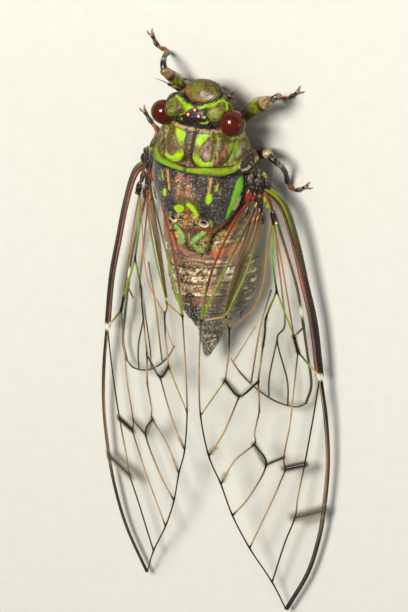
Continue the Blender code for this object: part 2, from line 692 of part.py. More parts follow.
def main():
    clear_scene()
    make_head()
    make_thorax()
    make_abdomen()
    make_wings()
    make_legs()


main()
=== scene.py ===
import math

import bpy
import numpy as np
from mathutils import Euler, Matrix, Vector


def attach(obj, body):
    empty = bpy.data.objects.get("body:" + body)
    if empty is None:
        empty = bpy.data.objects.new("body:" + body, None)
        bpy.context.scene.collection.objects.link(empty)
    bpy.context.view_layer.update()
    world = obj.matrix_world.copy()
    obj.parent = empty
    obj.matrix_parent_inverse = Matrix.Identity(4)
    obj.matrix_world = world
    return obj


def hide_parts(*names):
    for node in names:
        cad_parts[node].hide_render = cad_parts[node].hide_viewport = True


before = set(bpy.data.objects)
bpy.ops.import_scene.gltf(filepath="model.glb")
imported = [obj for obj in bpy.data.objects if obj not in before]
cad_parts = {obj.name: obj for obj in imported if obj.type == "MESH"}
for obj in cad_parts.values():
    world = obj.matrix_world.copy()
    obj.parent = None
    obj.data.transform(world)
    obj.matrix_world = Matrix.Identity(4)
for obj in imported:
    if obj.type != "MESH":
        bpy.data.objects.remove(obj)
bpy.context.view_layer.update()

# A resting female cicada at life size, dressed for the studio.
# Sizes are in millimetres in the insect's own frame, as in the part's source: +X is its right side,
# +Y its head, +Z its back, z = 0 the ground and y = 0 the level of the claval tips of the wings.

MM = 0.001
LENGTH_CENTRE = -3.35
ROOT_BODY = "root"
SEED = 7


def place(points):
    """Millimetres in the insect's frame to metres in the model's frame."""
    return (np.asarray(points, float) - (0.0, LENGTH_CENTRE, 0.0)) * MM


# Tones, as 0 to 255 screen values

TONES = {
    "black": (14, 11, 11),
    "soot": (30, 24, 24),
    "charcoal": (43, 41, 39),
    "slate": (68, 72, 74),
    "lime": (146, 188, 4),
    "sap": (98, 186, 2),
    "moss": (122, 142, 22),
    "jade": (104, 160, 68),
    "olive": (82, 74, 22),
    "umber": (78, 54, 30),
    "ochre": (178, 122, 44),
    "tan": (168, 138, 96),
    "cream": (222, 206, 160),
    "bone": (232, 228, 204),
    "taupe": (108, 88, 72),
    "rose": (160, 92, 76),
    "rust": (128, 64, 28),
    "brick": (132, 34, 10),
    "blood": (72, 11, 1),
    "ruby": (196, 22, 58),
    "plum": (74, 52, 52),
    "sepia": (44, 28, 20),
    "orange": (160, 66, 14),
    "coral": (196, 92, 44),
    "amber": (172, 108, 26),
    "citron": (124, 144, 24),
    "gold": (222, 194, 118),
    "silver": (206, 202, 192),
    "film": (206, 204, 176),
}


def tone(name):
    """A named tone as linear red, green and blue."""
    value = np.array(TONES[name], float) / 255
    return np.where(value <= 0.04045, value / 12.92, ((value + 0.055) / 1.055) ** 2.4)


# Ramps, curves, noise and masks


def ramp(value, start, reach):
    """0 at start, rising evenly to 1 over reach; a negative reach rises the other way."""
    return np.clip((value - start) / reach, 0, 1)


def soft_step(value, soft):
    """0 below and 1 above nought, with an even rise soft wide between them."""
    return np.clip(value / soft + 0.5, 0, 1)


def bell(value, middle, width):
    """1 at the middle, falling off as a Gaussian does."""
    return np.exp(-(((value - middle) / width) ** 2))


def curve(points, per_span=8):
    """A Catmull-Rom curve through the points: a cubic for each span, whose slope at a point
    is half the step between its neighbours."""
    p = np.asarray(points, float)
    p = np.vstack([2 * p[0] - p[1], p, 2 * p[-1] - p[-2]])
    a, b, c, d = p[:-3], p[1:-2], p[2:-1], p[3:]
    t = (np.arange(per_span) / per_span)[:, None, None]
    rows = 2 * b + (c - a) * t + (2 * a - 5 * b + 4 * c - d) * t**2 + (3 * b - a - 3 * c + d) * t**3
    return np.vstack([0.5 * rows.transpose(1, 0, 2).reshape(-1, p.shape[1]), p[-2]])


def run_of(path):
    """Length along the path at each of its points."""
    return np.concatenate([[0.0], np.cumsum(np.linalg.norm(np.diff(path, axis=0), axis=1))])


def even(path, count):
    """The path read at count places, evenly spaced along its length."""
    run = run_of(path)
    share = np.linspace(0, 1, count)
    return np.stack([np.interp(share * run[-1], run, column) for column in path.T], axis=1)


LATTICE_TURN = np.array(Euler((0.5, 0.7, 0.4)).to_matrix())


def lattice_noise(points, size, seed=0):
    """Values from 0 to 1: lattice corners size mm apart get hashed values, blended by smoothsteps.
    The lattice stands askew, so that its rows never follow the body's."""
    p = np.asarray(points, float) @ LATTICE_TURN / size + 1000.0 + 31.0 * seed
    cell = np.floor(p).astype(np.int64)
    part = p - cell
    part = part * part * (3 - 2 * part)
    total = np.zeros(len(p))
    for corner in range(8):
        shift = np.array([(corner >> k) & 1 for k in range(3)])
        c = cell + shift
        mixed = (c[:, 0] * 73856093) ^ (c[:, 1] * 19349663) ^ (c[:, 2] * 83492791)
        mixed = ((mixed ^ (mixed >> 13)) * 1274126177) & 0xFFFFFFFF
        value = ((mixed ^ (mixed >> 16)) & 0xFFFF) / 65535.0
        total += np.where(shift, part, 1 - part).prod(axis=1) * value
    return total


def noise(points, size, seed=0):
    """Three octaves of lattice noise, each half as large as the one before, from 0 to 1."""
    return sum(lattice_noise(points, size / 2**k, seed + k) * 0.5**k for k in range(3)) / 1.75


def ragged(points, amount=0.07, size=0.16):
    """Plan positions pushed about by noise, so that marks drawn on them get natural edges."""
    shift = [noise(points, size, seed) - 0.5 for seed in (3, 9)]
    return points[:, :2] + amount * 2 * np.stack(shift, axis=1)


def line_distance(plan, line):
    """Least distance from each plan point to the broken line."""
    a, b = line[:-1], line[1:]
    ab = b - a
    t = ((plan[:, None] - a) * ab).sum(-1) / np.maximum((ab**2).sum(-1), 1e-12)
    return np.linalg.norm(plan[:, None] - a - np.clip(t, 0, 1)[..., None] * ab, axis=-1).min(axis=1)


def stroke(plan, line, half, soft=0.07):
    """1 within half of the smooth line through the points, falling to 0 over soft."""
    return soft_step(half - line_distance(plan, curve(line, 6)), soft)


def spot(plan, centre, radii, soft=0.25, turn=0.0):
    """1 inside an ellipse turned by so many degrees, falling to 0 over a share of its radius."""
    c, s = math.cos(math.radians(turn)), math.sin(math.radians(turn))
    off = (plan - centre) @ np.array([[c, -s], [s, c]])
    return soft_step(1 - np.hypot(*(off / radii).T), soft)


def patch(plan, outline, soft=0.07):
    """1 inside the closed, rounded outline, falling to 0 over soft: distance to the outline,
    counted positive where a ray from the point crosses it an odd number of times."""
    loop = curve([*outline[-1:], *outline, *outline[:2]], 3)[3:-3]
    a, b = loop[:-1], loop[1:]
    x, y = plan[:, None, 0], plan[:, None, 1]
    spans = (a[:, 1] > y) != (b[:, 1] > y)
    crossing = a[:, 0] + (y - a[:, 1]) * (b[:, 0] - a[:, 0]) / (b[:, 1] - a[:, 1] + 1e-9)
    inside = (spans & (x < crossing)).sum(axis=1) % 2
    return soft_step((inside * 2 - 1) * line_distance(plan, loop), soft)


def band(value, low, high, soft=0.08):
    """1 between low and high, with soft flanks."""
    return soft_step(value - low, soft) * soft_step(high - value, soft)


def both_sides(plan):
    """Plan positions with the left half folded onto the right."""
    return np.stack([np.abs(plan[:, 0]), plan[:, 1]], axis=1)


def paint(count, base, *layers):
    """The base tone, with each layer's tone laid on by its mask."""
    colour = np.tile(tone(base), (count, 1))
    for mask, name in layers:
        mask = np.asarray(mask)[:, None]
        colour = colour * (1 - mask) + tone(name) * mask
    return colour


def over(area, *layers):
    """Layers held inside an area, each from its strength, its tone and, where given, its own mask."""
    return [(strength * area * (mask[0] if mask else 1), name) for strength, name, *mask in layers]


# Forms: points, four-sided faces and triangles


def loft(rings):
    """Closed skin over rings of equally many points, with a fan on each end, facing outwards."""
    rows, sides = rings.shape[:2]
    points = np.vstack([rings.reshape(-1, 3), rings[0].mean(axis=0), rings[-1].mean(axis=0)])
    i = np.arange(rows - 1)[:, None] * sides
    j = np.arange(sides)
    k = (j + 1) % sides
    quads = np.stack([i + j, i + k, i + sides + k, i + sides + j], axis=-1).reshape(-1, 4)
    last = (rows - 1) * sides
    first_fan = np.stack([np.full(sides, rows * sides), k, j], axis=1)
    last_fan = np.stack([np.full(sides, rows * sides + 1), last + j, last + k], axis=1)
    tris = np.vstack([first_fan, last_fan])
    return facing_out(points, quads, tris)


def facing_out(points, quads, tris):
    """The form, with its faces turned over where they enclose a negative volume."""
    fans = np.vstack([quads[:, [0, 1, 2]], quads[:, [0, 2, 3]], tris])
    a, b, c = (points[fans[:, k]] for k in range(3))
    if (a * np.cross(b, c)).sum() < 0:
        return points, quads[:, ::-1], tris[:, ::-1]
    return points, quads, tris


def joined(forms):
    """One form from several, side by side."""
    points, quads, tris, start = [], [], [], 0
    for p, q, t in forms:
        points.append(p)
        quads.append(q + start)
        tris.append(t + start)
        start += len(p)
    return np.vstack(points), np.vstack(quads), np.vstack(tris)


def gathered(parts):
    """One form and its colours from several of each."""
    forms, colours = zip(*parts)
    return joined(forms), np.vstack(colours)


def mirrored(form):
    """The form's other side, faces still outwards."""
    points, quads, tris = form
    return points * (-1.0, 1.0, 1.0), quads[:, ::-1], tris[:, ::-1]


def sweep(path, radii, sides=10, upward=(0.0, 0.0, 1.0), flatten=1.0, wave=None):
    """Rings square to a path: each is a circle of the radius there, squeezed along upward
    by flatten, with rounded ends. wave, if given, scales the rings around and along."""
    path = np.asarray(path, float)
    radii = np.asarray(radii, float)
    along = np.gradient(path, axis=0)
    along /= np.linalg.norm(along, axis=1)[:, None]
    cap = np.array([0.92, 0.7, 0.35])
    reach = np.array([0.3, 0.6, 0.85])
    head = path[0] - along[0] * (reach * radii[0] * flatten)[::-1, None]
    tail = path[-1] + along[-1] * (reach * radii[-1] * flatten)[:, None]
    path = np.vstack([head, path, tail])
    along = np.vstack([np.tile(along[0], (3, 1)), along, np.tile(along[-1], (3, 1))])
    radii = np.concatenate([radii[0] * cap[::-1], radii, radii[-1] * cap])
    side = np.cross(along, upward)
    side /= np.linalg.norm(side, axis=1)[:, None]
    lift = np.cross(side, along)
    turn = np.arange(sides) * 2 * math.pi / sides
    scale = radii[:, None] * np.ones(sides)
    if wave is not None:
        scale = scale * wave(np.linspace(0, 1, len(path))[:, None], turn[None])
    circle = np.cos(turn)[:, None] * side[:, None] + flatten * np.sin(turn)[:, None] * lift[:, None]
    return path[:, None] + scale[..., None] * circle


def table_rings(table, sides):
    """Rings across the body from columns of y, half width, underside, side height, top, centre and
    squareness: superellipses whose upper and lower halves have their own heights."""
    y, half, low, side, top, centre, square = (column[:, None] for column in table.T)
    turn = np.arange(sides) * 2 * math.pi / sides
    across = np.sign(np.cos(turn)) * np.abs(np.cos(turn)) ** (2 / square)
    up = np.sign(np.sin(turn)) * np.abs(np.sin(turn)) ** (2 / square)
    height = np.where(up > 0, top - side, side - low)
    return np.stack([centre + half * across, y + 0 * across, side + height * up], axis=-1)


def section_rings(rows, sides, per_span):
    """Rings of a table whose columns run smoothly through the rows."""
    return table_rings(curve(rows, per_span), sides)


def ring_normals(rings):
    """Outward normals of a lofted skin, from the cross product of its two grid directions."""
    around = np.roll(rings, -1, axis=1) - np.roll(rings, 1, axis=1)
    along = np.gradient(rings, axis=0)
    normal = np.cross(around, along)
    normal /= np.maximum(np.linalg.norm(normal, axis=-1), 1e-9)[..., None]
    outward = rings - rings.mean(axis=1, keepdims=True)
    return normal * np.sign((normal * outward).sum(-1).mean())


def raised(rings, relief):
    """The skin pushed along its normals by relief(points), in mm."""
    flat = rings.reshape(-1, 3)
    lift = relief(flat).reshape(rings.shape[:2])
    return rings + ring_normals(rings) * lift[..., None]


def ellipsoid(centre, radii, rows=20, sides=28, relief=None):
    """Latitude rings of an ellipsoid; its poles close in fans."""
    rise = np.linspace(-math.pi / 2, math.pi / 2, rows + 2)[1:-1, None]
    turn = np.arange(sides) * 2 * math.pi / sides
    unit = [np.cos(rise) * np.cos(turn), np.cos(rise) * np.sin(turn), np.sin(rise) + 0 * turn]
    rings = np.stack(unit, axis=-1)
    if relief is not None:
        rings = rings * (1 + relief(rings.reshape(-1, 3)).reshape(rings.shape[:2])[..., None])
    return loft(rings * radii + centre)


# Pieces


def make_piece(name, form, finish, nodes=(), colours=None, values=None, uv=None):
    """A mesh object from a form in mm, painted point by point, riding on the one body."""
    points, quads, tris = form
    corners = np.concatenate([quads.ravel(), tris.ravel()]).astype(np.int32)
    starts = np.concatenate([np.arange(len(quads)) * 4, len(quads) * 4 + np.arange(len(tris)) * 3])
    mesh = bpy.data.meshes.new(name)
    mesh.vertices.add(len(points))
    mesh.vertices.foreach_set("co", place(points).astype(np.float32).ravel())
    mesh.loops.add(len(corners))
    mesh.loops.foreach_set("vertex_index", corners)
    mesh.polygons.add(len(starts))
    mesh.polygons.foreach_set("loop_start", starts.astype(np.int32))
    mesh.update(calc_edges=True)
    mesh.validate()
    mesh.shade_smooth()
    if colours is not None:
        layer = mesh.attributes.new("paint", "FLOAT_COLOR", "POINT")
        rgba = np.hstack([colours, np.ones((len(points), 1))])
        layer.data.foreach_set("color", rgba.astype(np.float32).ravel())
    for key, value in (values or {}).items():
        layer = mesh.attributes.new(key, "FLOAT", "POINT")
        layer.data.foreach_set("value", np.asarray(value, np.float32))
    if uv is not None:
        layer = mesh.uv_layers.new(name="OFBake")
        layer.data.foreach_set("uv", uv[corners].astype(np.float32).ravel())
    mesh.materials.append(finish)
    piece = bpy.data.objects.new(name, mesh)
    bpy.context.scene.collection.objects.link(piece)
    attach(piece, ROOT_BODY)
    if nodes:
        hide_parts(*nodes)


def make_shell(name, rings, finish, node, painter, turn=lambda form: form):
    """A piece from closed rings, painted where they lie and then turned as a whole."""
    form = loft(rings)
    make_piece(name, turn(form), finish, [node], painter(form[0]))


# Shader nodes


def add(tree, kind, inputs=None, **settings):
    """A node with its settings, and its inputs set to values or linked to sockets."""
    node = tree.nodes.new(kind)
    for key, value in settings.items():
        setattr(node, key, value)
    for key, value in (inputs or {}).items():
        if isinstance(value, bpy.types.NodeSocket):
            tree.links.new(value, node.inputs[key])
        else:
            node.inputs[key].default_value = value
    return node


GREY = (0.5, 0.5, 0.5, 1)


def new_group(name, inputs, outputs):
    """An empty node group with its inputs and their values, and its outputs; a tuple stands for a
    colour, and so does the output named Colour."""
    tree = bpy.data.node_groups.new(name, "ShaderNodeTree")
    for label, value in inputs.items():
        kind = "NodeSocketColor" if isinstance(value, tuple) else "NodeSocketFloat"
        tree.interface.new_socket(label, in_out="INPUT", socket_type=kind).default_value = value
    for label in outputs:
        kind = "NodeSocketColor" if label == "Colour" else "NodeSocketFloat"
        tree.interface.new_socket(label, in_out="OUTPUT", socket_type=kind)
    spots = add(tree, "ShaderNodeTexCoord").outputs["Object"]
    return tree, tree.nodes.new("NodeGroupInput").outputs, spots


def put_out(tree, values):
    """Links the values to the group's outputs."""
    add(tree, "NodeGroupOutput", values)


def maths(operation, *values):
    """The result of a Math node, in the tree of the values that are sockets."""
    tree = next(value.id_data for value in values if isinstance(value, bpy.types.NodeSocket))
    return add(tree, "ShaderNodeMath", dict(enumerate(values)), operation=operation).outputs[0]


def times(*values):
    """A product as a Math node."""
    return maths("MULTIPLY", *values)


def plus(*values):
    """A sum as a Math node."""
    return maths("ADD", *values)


def minus(*values):
    """A difference as a Math node."""
    return maths("SUBTRACT", *values)


def tinted(factor, first, second, blend="MIX"):
    """A colour mix, in the tree of the factor or of the first colour."""
    tree = (factor if isinstance(factor, bpy.types.NodeSocket) else first).id_data
    node = add(tree, "ShaderNodeMix", data_type="RGBA", blend_type=blend)
    sockets = {socket.identifier: socket for socket in node.inputs}
    for name, value in (("Factor_Float", factor), ("A_Color", first), ("B_Color", second)):
        if isinstance(value, bpy.types.NodeSocket):
            tree.links.new(value, sockets[name])
        else:
            sockets[name].default_value = value
    return next(socket for socket in node.outputs if socket.identifier == "Result_Color")


def shaded(colour, value):
    """A colour made darker or lighter by a value."""
    grey = add(colour.id_data, "ShaderNodeCombineColor", {"Red": value, "Green": value, "Blue": value})
    return tinted(1.0, colour, grey.outputs["Color"], "MULTIPLY")


def noise_of(spots, scale, detail=4.0, roughness=0.55):
    """A Noise texture's value."""
    inputs = {"Vector": spots, "Scale": scale, "Detail": detail, "Roughness": roughness}
    return add(spots.id_data, "ShaderNodeTexNoise", inputs).outputs["Fac"]


def cells_of(spots, scale):
    """Distance to the middle of the nearest cell."""
    return add(spots.id_data, "ShaderNodeTexVoronoi", {"Vector": spots, "Scale": scale}).outputs["Distance"]


def spread(value, low, high, new_low, new_high):
    """A value's range mapped onto another, held inside it."""
    inputs = {"Value": value, "From Min": low, "From Max": high, "To Min": new_low, "To Max": new_high}
    return add(value.id_data, "ShaderNodeMapRange", inputs).outputs["Result"]


def hard_skin_group():
    """Hard skin: the paint mottled by broad and fine noise, pale flecks, and a pitted, wrinkled height."""
    tree, given, spots = new_group(
        "hard skin",
        {"Paint": GREY, "Grain": 2600.0, "Mottle": 0.35, "Flecks": 0.2, "Gloss": 0.3, "Gloss Change": 0.15},
        ("Colour", "Roughness", "Height"),
    )
    broad = noise_of(spots, times(given["Grain"], 0.35))
    fine = noise_of(spots, times(given["Grain"], 2.2), 3.0, 0.65)
    pit = spread(cells_of(spots, given["Grain"]), 0.0, 0.45, 0.0, 1.0)
    shade = plus(times(broad, 0.6), times(fine, 0.4))
    change = spread(shade, 0.3, 0.7, minus(1.0, given["Mottle"]), plus(1.0, given["Mottle"]))
    flecks = times(spread(noise_of(spots, 9000.0, 2.0, 0.5), 0.6, 0.7, 0.0, 1.0), given["Flecks"])
    put_out(tree, {
        "Colour": tinted(flecks, shaded(given["Paint"], change), (0.62, 0.52, 0.42, 1)),
        "Roughness": plus(given["Gloss"], times(times(minus(fine, 0.5), given["Gloss Change"]), 3.0)),
        "Height": plus(times(pit, 0.5), times(fine, 0.5)),
    })
    return tree


def film_group():
    """Wing film: faint wrinkles, brown stains by their mask, and how solid the film is."""
    tree, given, spots = new_group(
        "wing film",
        {"Tint": (0.6, 0.6, 0.45, 1), "Stain": 0.0, "Veil": 0.0, "Clearness": 0.14},
        ("Colour", "Roughness", "Alpha", "Height"),
    )
    broad = noise_of(spots, 420.0, 3.0)
    fine = noise_of(spots, 5200.0, 3.0, 0.6)
    wash = tinted(spread(broad, 0.35, 0.65, 0.0, 0.5), given["Tint"], (0.72, 0.62, 0.36, 1))
    brown = tinted(fine, (0.016, 0.007, 0.004, 1), (0.06, 0.022, 0.012, 1))
    clear = times(given["Clearness"], spread(broad, 0.3, 0.7, 0.7, 1.3))
    solid = plus(plus(clear, times(given["Veil"], 0.07)), times(given["Stain"], 0.85))
    put_out(tree, {
        "Colour": tinted(given["Stain"], wash, brown),
        "Roughness": plus(spread(fine, 0.3, 0.7, 0.06, 0.2), times(given["Stain"], 0.25)),
        "Alpha": maths("MINIMUM", solid, 1.0),
        "Height": plus(times(broad, 0.7), times(fine, 0.3)),
    })
    return tree


def facet_group():
    """Compound eye: tiny lenses as cells with darker rims, and a warmer haze by noise."""
    tree, given, spots = new_group(
        "eye facets", {"Paint": (0.1, 0.01, 0.01, 1), "Facets": 16000.0}, ("Colour", "Roughness", "Height")
    )
    cells = cells_of(spots, given["Facets"])
    haze = noise_of(spots, 700.0, 3.0)
    warm = tinted(spread(haze, 0.35, 0.7, 0.0, 0.6), given["Paint"], (0.13, 0.02, 0.004, 1))
    put_out(tree, {
        "Colour": shaded(warm, spread(cells, 0.25, 0.6, 1.0, 0.72)),
        "Roughness": spread(haze, 0.3, 0.7, 0.06, 0.14),
        "Height": minus(1.0, cells),
    })
    return tree


def new_finish(name, group, inputs, bump, constants):
    """A material: a Principled shader fed by a group, whose inputs are values or the names of the
    piece's own attributes; bump is its depth in mm and its strength."""
    finish = bpy.data.materials.new(name)
    finish.use_nodes = True
    tree = finish.node_tree
    shader = tree.nodes["Principled BSDF"]
    box = tree.nodes.new("ShaderNodeGroup")
    box.node_tree = group
    for key, value in inputs.items():
        if isinstance(value, str):
            source = add(tree, "ShaderNodeAttribute", attribute_name=value)
            tree.links.new(source.outputs["Color" if value == "paint" else "Fac"], box.inputs[key])
        else:
            box.inputs[key].default_value = value
    for key, target in (("Colour", "Base Color"), ("Roughness", "Roughness"), ("Alpha", "Alpha")):
        if key in box.outputs:
            tree.links.new(box.outputs[key], shader.inputs[target])
    depth, strength = bump
    relief = {"Strength": strength, "Distance": depth * MM, "Height": box.outputs["Height"]}
    tree.links.new(add(tree, "ShaderNodeBump", relief).outputs["Normal"], shader.inputs["Normal"])
    for key, value in constants.items():
        shader.inputs[key].default_value = value
    return finish


def hard_finish(name, grain=2600.0, mottle=0.35, flecks=0.2, gloss=0.3, change=0.15, depth=0.03, coat=0.15):
    """A material of the hard skin group, painted by the piece's attribute."""
    inputs = {
        "Paint": "paint", "Grain": grain, "Mottle": mottle,
        "Flecks": flecks, "Gloss": gloss, "Gloss Change": change,
    }
    constants = {"Coat Weight": coat, "Coat Roughness": 0.12, "Specular IOR Level": 0.35}
    return new_finish(name, HARD_SKIN, inputs, (depth, 0.6), constants)


HARD_SKIN = hard_skin_group()
WING_FILM = film_group()
EYE_FACETS = facet_group()

HEAD_FINISH = hard_finish("head shell", mottle=0.4, flecks=0.12, gloss=0.44, depth=0.04, coat=0.05)
BROW_FINISH = hard_finish("brow shell", mottle=0.3, flecks=0.06, gloss=0.3, depth=0.02, coat=0.15)
SHIELD_FINISH = hard_finish("pronotum shell", mottle=0.4, flecks=0.08, gloss=0.5, depth=0.06, coat=0.02)
BACK_FINISH = hard_finish("mesonotum shell", grain=3200.0, flecks=0.3, gloss=0.38, depth=0.04, coat=0.08)
TRUNK_FINISH = hard_finish("trunk skin", mottle=0.45, flecks=0.3, gloss=0.42, depth=0.05, coat=0.05)
BELLY_FINISH = hard_finish("abdomen shell", grain=3000.0, mottle=0.45, flecks=0.22, gloss=0.36, depth=0.05)
LEG_FINISH = hard_finish("leg shell", grain=3000.0, mottle=0.35, flecks=0.15, gloss=0.3, depth=0.02)
VEIN_FINISH = hard_finish("wing veins", grain=4200.0, mottle=0.3, flecks=0.0, gloss=0.28, depth=0.012)
LENS_FINISH = hard_finish("simple eye lens", mottle=0.2, flecks=0.0, gloss=0.24, depth=0.004, coat=0.9)
HAIR_FINISH = hard_finish("fine hair", grain=5200.0, mottle=0.2, flecks=0.0, gloss=0.35, depth=0.004)
FILM_FINISH = new_finish(
    "wing film",
    WING_FILM,
    {"Tint": "paint", "Stain": "stain", "Veil": "veil", "Clearness": 0.035},
    (0.02, 0.5),
    {"Specular IOR Level": 0.9, "Coat Weight": 0.6, "Coat Roughness": 0.05},
)
EYE_FINISH = new_finish(
    "compound eye",
    EYE_FACETS,
    {"Paint": "paint", "Facets": 15000.0},
    (0.006, 0.1),
    {"Coat Weight": 0.5, "Coat Roughness": 0.08, "Specular IOR Level": 0.08},
)


# Wings: right wing in plan, x across and y along

ROOF_RIDGE = 5.32
ROOF_FALL = (0.025, 0.0033)
ROOF_SLOPE = (0.443, 0.0064)
ROOF_CAMBER = 0.0006
HIND_DROP = 1.05
FILM_THICKNESS = 0.03
FILM_ROWS = 300
FILM_COLUMNS = 64
FILM_DOME = 0.05
VEIN_STEP = 0.12


def roof_height(x, y):
    """Height of the forewing: a ridge that bends along y, less a side slope, plus a camber."""
    ridge = ROOF_RIDGE + ROOF_FALL[0] * y - ROOF_FALL[1] * y**2
    return ridge - (ROOF_SLOPE[0] + ROOF_SLOPE[1] * y) * x + ROOF_CAMBER * x**2


FORE = {
    "root": (4.6, 10.8), "arculus": (5.3, 8.15), "m_fork": (5.7, 2.65), "r_fork": (6.9, -1.0),
    "r_split": (7.2, -2.3), "nodus": (8.7, -4.35), "m_bend": (5.05, 0.5), "m_knee": (4.85, -1.95),
    "m_low": (4.55, -4.9), "m3": (4.6, -7.5), "cua1": (3.25, -6.2), "cua2": (2.3, -4.9),
    "cu_split": (2.4, 0.5), "cu_end": (2.6, -0.55), "claval_tip": (0.75, 0.1), "a1": (0.55, -8.05),
    "a2": (1.0, -11.7), "a3": (1.75, -14.25), "a4": (2.45, -17.15), "a5": (3.55, -20.2),
    "a6": (5.05, -23.4), "rm_out": (7.7, -12.0), "rm_in": (6.4, -12.45), "rm_stub": (6.25, -11.45),
    "y_foot": (5.0, -12.2), "y_arm": (4.2, -10.4), "ra2": (9.0, -16.05), "r_cross_in": (6.95, -16.9),
    "tip": (5.95, -26.0),
}
FORE_LEAD = [
    (4.8, 11.75), (6.0, 9.9), (7.0, 7.0), (7.8, 3.65), (8.5, 0.2), (9.1, -3.55), (9.55, -7.7),
    (9.7, -11.5), (9.45, -15.1), (8.9, -18.75), (8.15, -22.1), (7.25, -24.7), (6.5, -26.05), (5.75, -26.4),
]
FORE_TRAIL = [
    (4.2, 11.15), (4.05, 10.1), (3.0, 8.75), (1.75, 5.65), (0.95, 2.9), (0.5, 0.3), (0.4, -2.0),
    (0.2, -5.15), (0.2, -8.05), (0.6, -11.5), (1.35, -14.35), (2.05, -17.25), (3.1, -20.5),
    (4.05, -23.4), (4.95, -25.5), (5.75, -26.4),
]

# Each vein: half width, its stations by junction name or (x, y), and the tones at its stations,
# of which the last carries on to the vein's end
COSTA = ["root", (5.85, 9.45), (6.75, 6.7), (7.5, 3.3), (8.2, 0.0), "nodus"]
OUTER_EDGE = ["nodus", (9.15, -8.05), (9.3, -11.9), "ra2", (8.55, -19.0), (7.65, -22.3), "tip"]
FORE_VEINS = {
    "basal_front": (0.085, ["root", (5.15, 9.5), "arculus"], "rust brick sepia"),
    "radius": (0.062, ["arculus", (6.05, 4.45), "r_fork"], "rust ochre umber"),
    "radial_bar": (0.12, ["r_fork", "r_split"], "black"),
    "radial_pale": (0.085, ["r_split", (7.95, -3.35), "nodus"], "black citron bone"),
    "radial_sector": (
        0.062,
        ["nodus", (8.3, -7.8), "rm_out", (7.2, -14.95), "r_cross_in", (6.15, -19.4), "a6"],
        "sepia sepia black tan sepia sepia black",
    ),
    "r_cross": (0.07, ["ra2", "r_cross_in"], "sepia black"),
    "sector_inner": (
        0.06,
        ["r_split", (6.95, -5.55), (6.7, -8.5), "rm_stub", "rm_in"],
        "black tan tan rust black",
    ),
    "rm_cross": (0.1, ["rm_out", "rm_in"], "black"),
    "m_outer": (0.06, ["rm_in", (5.35, -15.5), "a5"], "black tan"),
    "media": (0.08, ["arculus", (5.35, 5.35), "m_fork"], "moss jade sepia"),
    "media_outer": (0.07, ["m_fork", "r_fork"], "citron"),
    "media_inner": (
        0.075,
        ["m_fork", "m_bend", (4.98, -0.8), "m_knee", (4.7, -3.4), "m_low", (4.6, -6.4), "m3"],
        "citron black black black tan black tan sepia",
    ),
    "m_cross": (0.085, ["m_low", "cua1", "cua2"], "black"),
    "m3_branch": (0.062, ["m3", (4.25, -9.4), "y_arm", (2.8, -12.0), "a3"], "sepia tan sepia tan"),
    "y_leg": (0.07, ["y_arm", "y_foot", (3.7, -15.3), "a4"], "black black tan"),
    "y_cross": (0.08, ["y_foot", "rm_stub"], "black"),
    "cua_branch": (0.062, ["cua1", (2.15, -9.4), "a2"], "black tan"),
    "cua_low": (0.062, ["cua2", "a1"], "citron tan"),
    "cubitus_front": (
        0.045,
        ["arculus", (4.95, 5.25), (4.8, 3.2), (4.15, 1.1), "cu_end"],
        "rust ochre ochre amber rust",
    ),
    "cubitus_rear": (
        0.07,
        ["root", (4.45, 7.5), (3.6, 3.85), "cu_split", "cu_end", (2.58, -1.9), (2.55, -2.7), "cua2"],
        "rust rust citron citron black black tan",
    ),
    "cu_link": (0.066, ["cu_split", "claval_tip"], "amber tan"),
    "claval_fold": (0.075, [(4.45, 9.7), (3.15, 6.5), (1.95, 3.4), "claval_tip"], "sepia olive citron"),
    "claval_edge": (
        0.1,
        [(4.2, 10.3), (3.15, 8.75), (1.9, 5.65), (1.2, 3.1), "claval_tip"],
        "brick brick rust umber citron",
    ),
    "fold_first": (0.055, [(4.2, 9.5), (3.55, 6.7), (3.05, 4.9), (2.36, 1.0)], "sepia umber taupe umber"),
    "fold_second": (0.08, [(4.3, 9.5), (3.7, 6.7), (3.15, 4.9), (2.4, 1.1)], "rose taupe taupe umber"),
    "fold_third": (0.085, [(4.4, 9.4), (3.86, 6.7), (3.27, 4.8), (2.44, 1.0)], "umber taupe olive umber"),
    "fold_fourth": (0.045, [(4.5, 9.3), (4.0, 6.8), (3.38, 4.8), (2.48, 1.3)], "taupe tan umber olive"),
    "fold_fifth": (0.07, [(4.6, 9.2), (4.12, 6.9), (3.48, 4.8), (2.52, 1.2)], "umber taupe umber olive"),
    "ambient": (
        0.062,
        ["claval_tip", (0.55, -3.95), "a1", "a2", "a3", "a4", "a5", "a6", "tip"],
        "sepia tan sepia",
    ),
}
# Parallel strips of the thick leading edge: offset towards the edge, half width and tones,
# first for the right wing, then for the left, whose darker tones are painted shade
COSTA_STRIPS = {
    "right": [
        (0.25, 0.05, "tan olive sepia soot black"),
        (0.15, 0.08, "moss olive umber sepia soot"),
        (0.0, 0.11, "moss moss olive plum soot sepia"),
        # The rose stretches of this strip are a painted highlight along the ridge of the edge
        (-0.13, 0.08, "sepia sepia sepia rose plum rose"),
        (-0.25, 0.05, "rose rust rust brick sepia"),
    ],
    "left": [
        (0.25, 0.05, "moss sepia soot soot black soot"),
        (0.15, 0.08, "moss olive plum plum soot"),
        (0.0, 0.11, "plum plum plum soot soot sepia"),
        # The rose stretches of this strip are a painted highlight along the ridge of the edge
        (-0.13, 0.08, "sepia rose taupe rose plum rose"),
        (-0.25, 0.05, "sepia sepia brick sepia"),
    ],
}
EDGE_STRIPS = [
    (0.13, 0.06, "black black black soot black"),
    (0.03, 0.075, "sepia sepia rust taupe sepia"),
    (-0.09, 0.05, "tan black tan soot soot sepia black"),
]
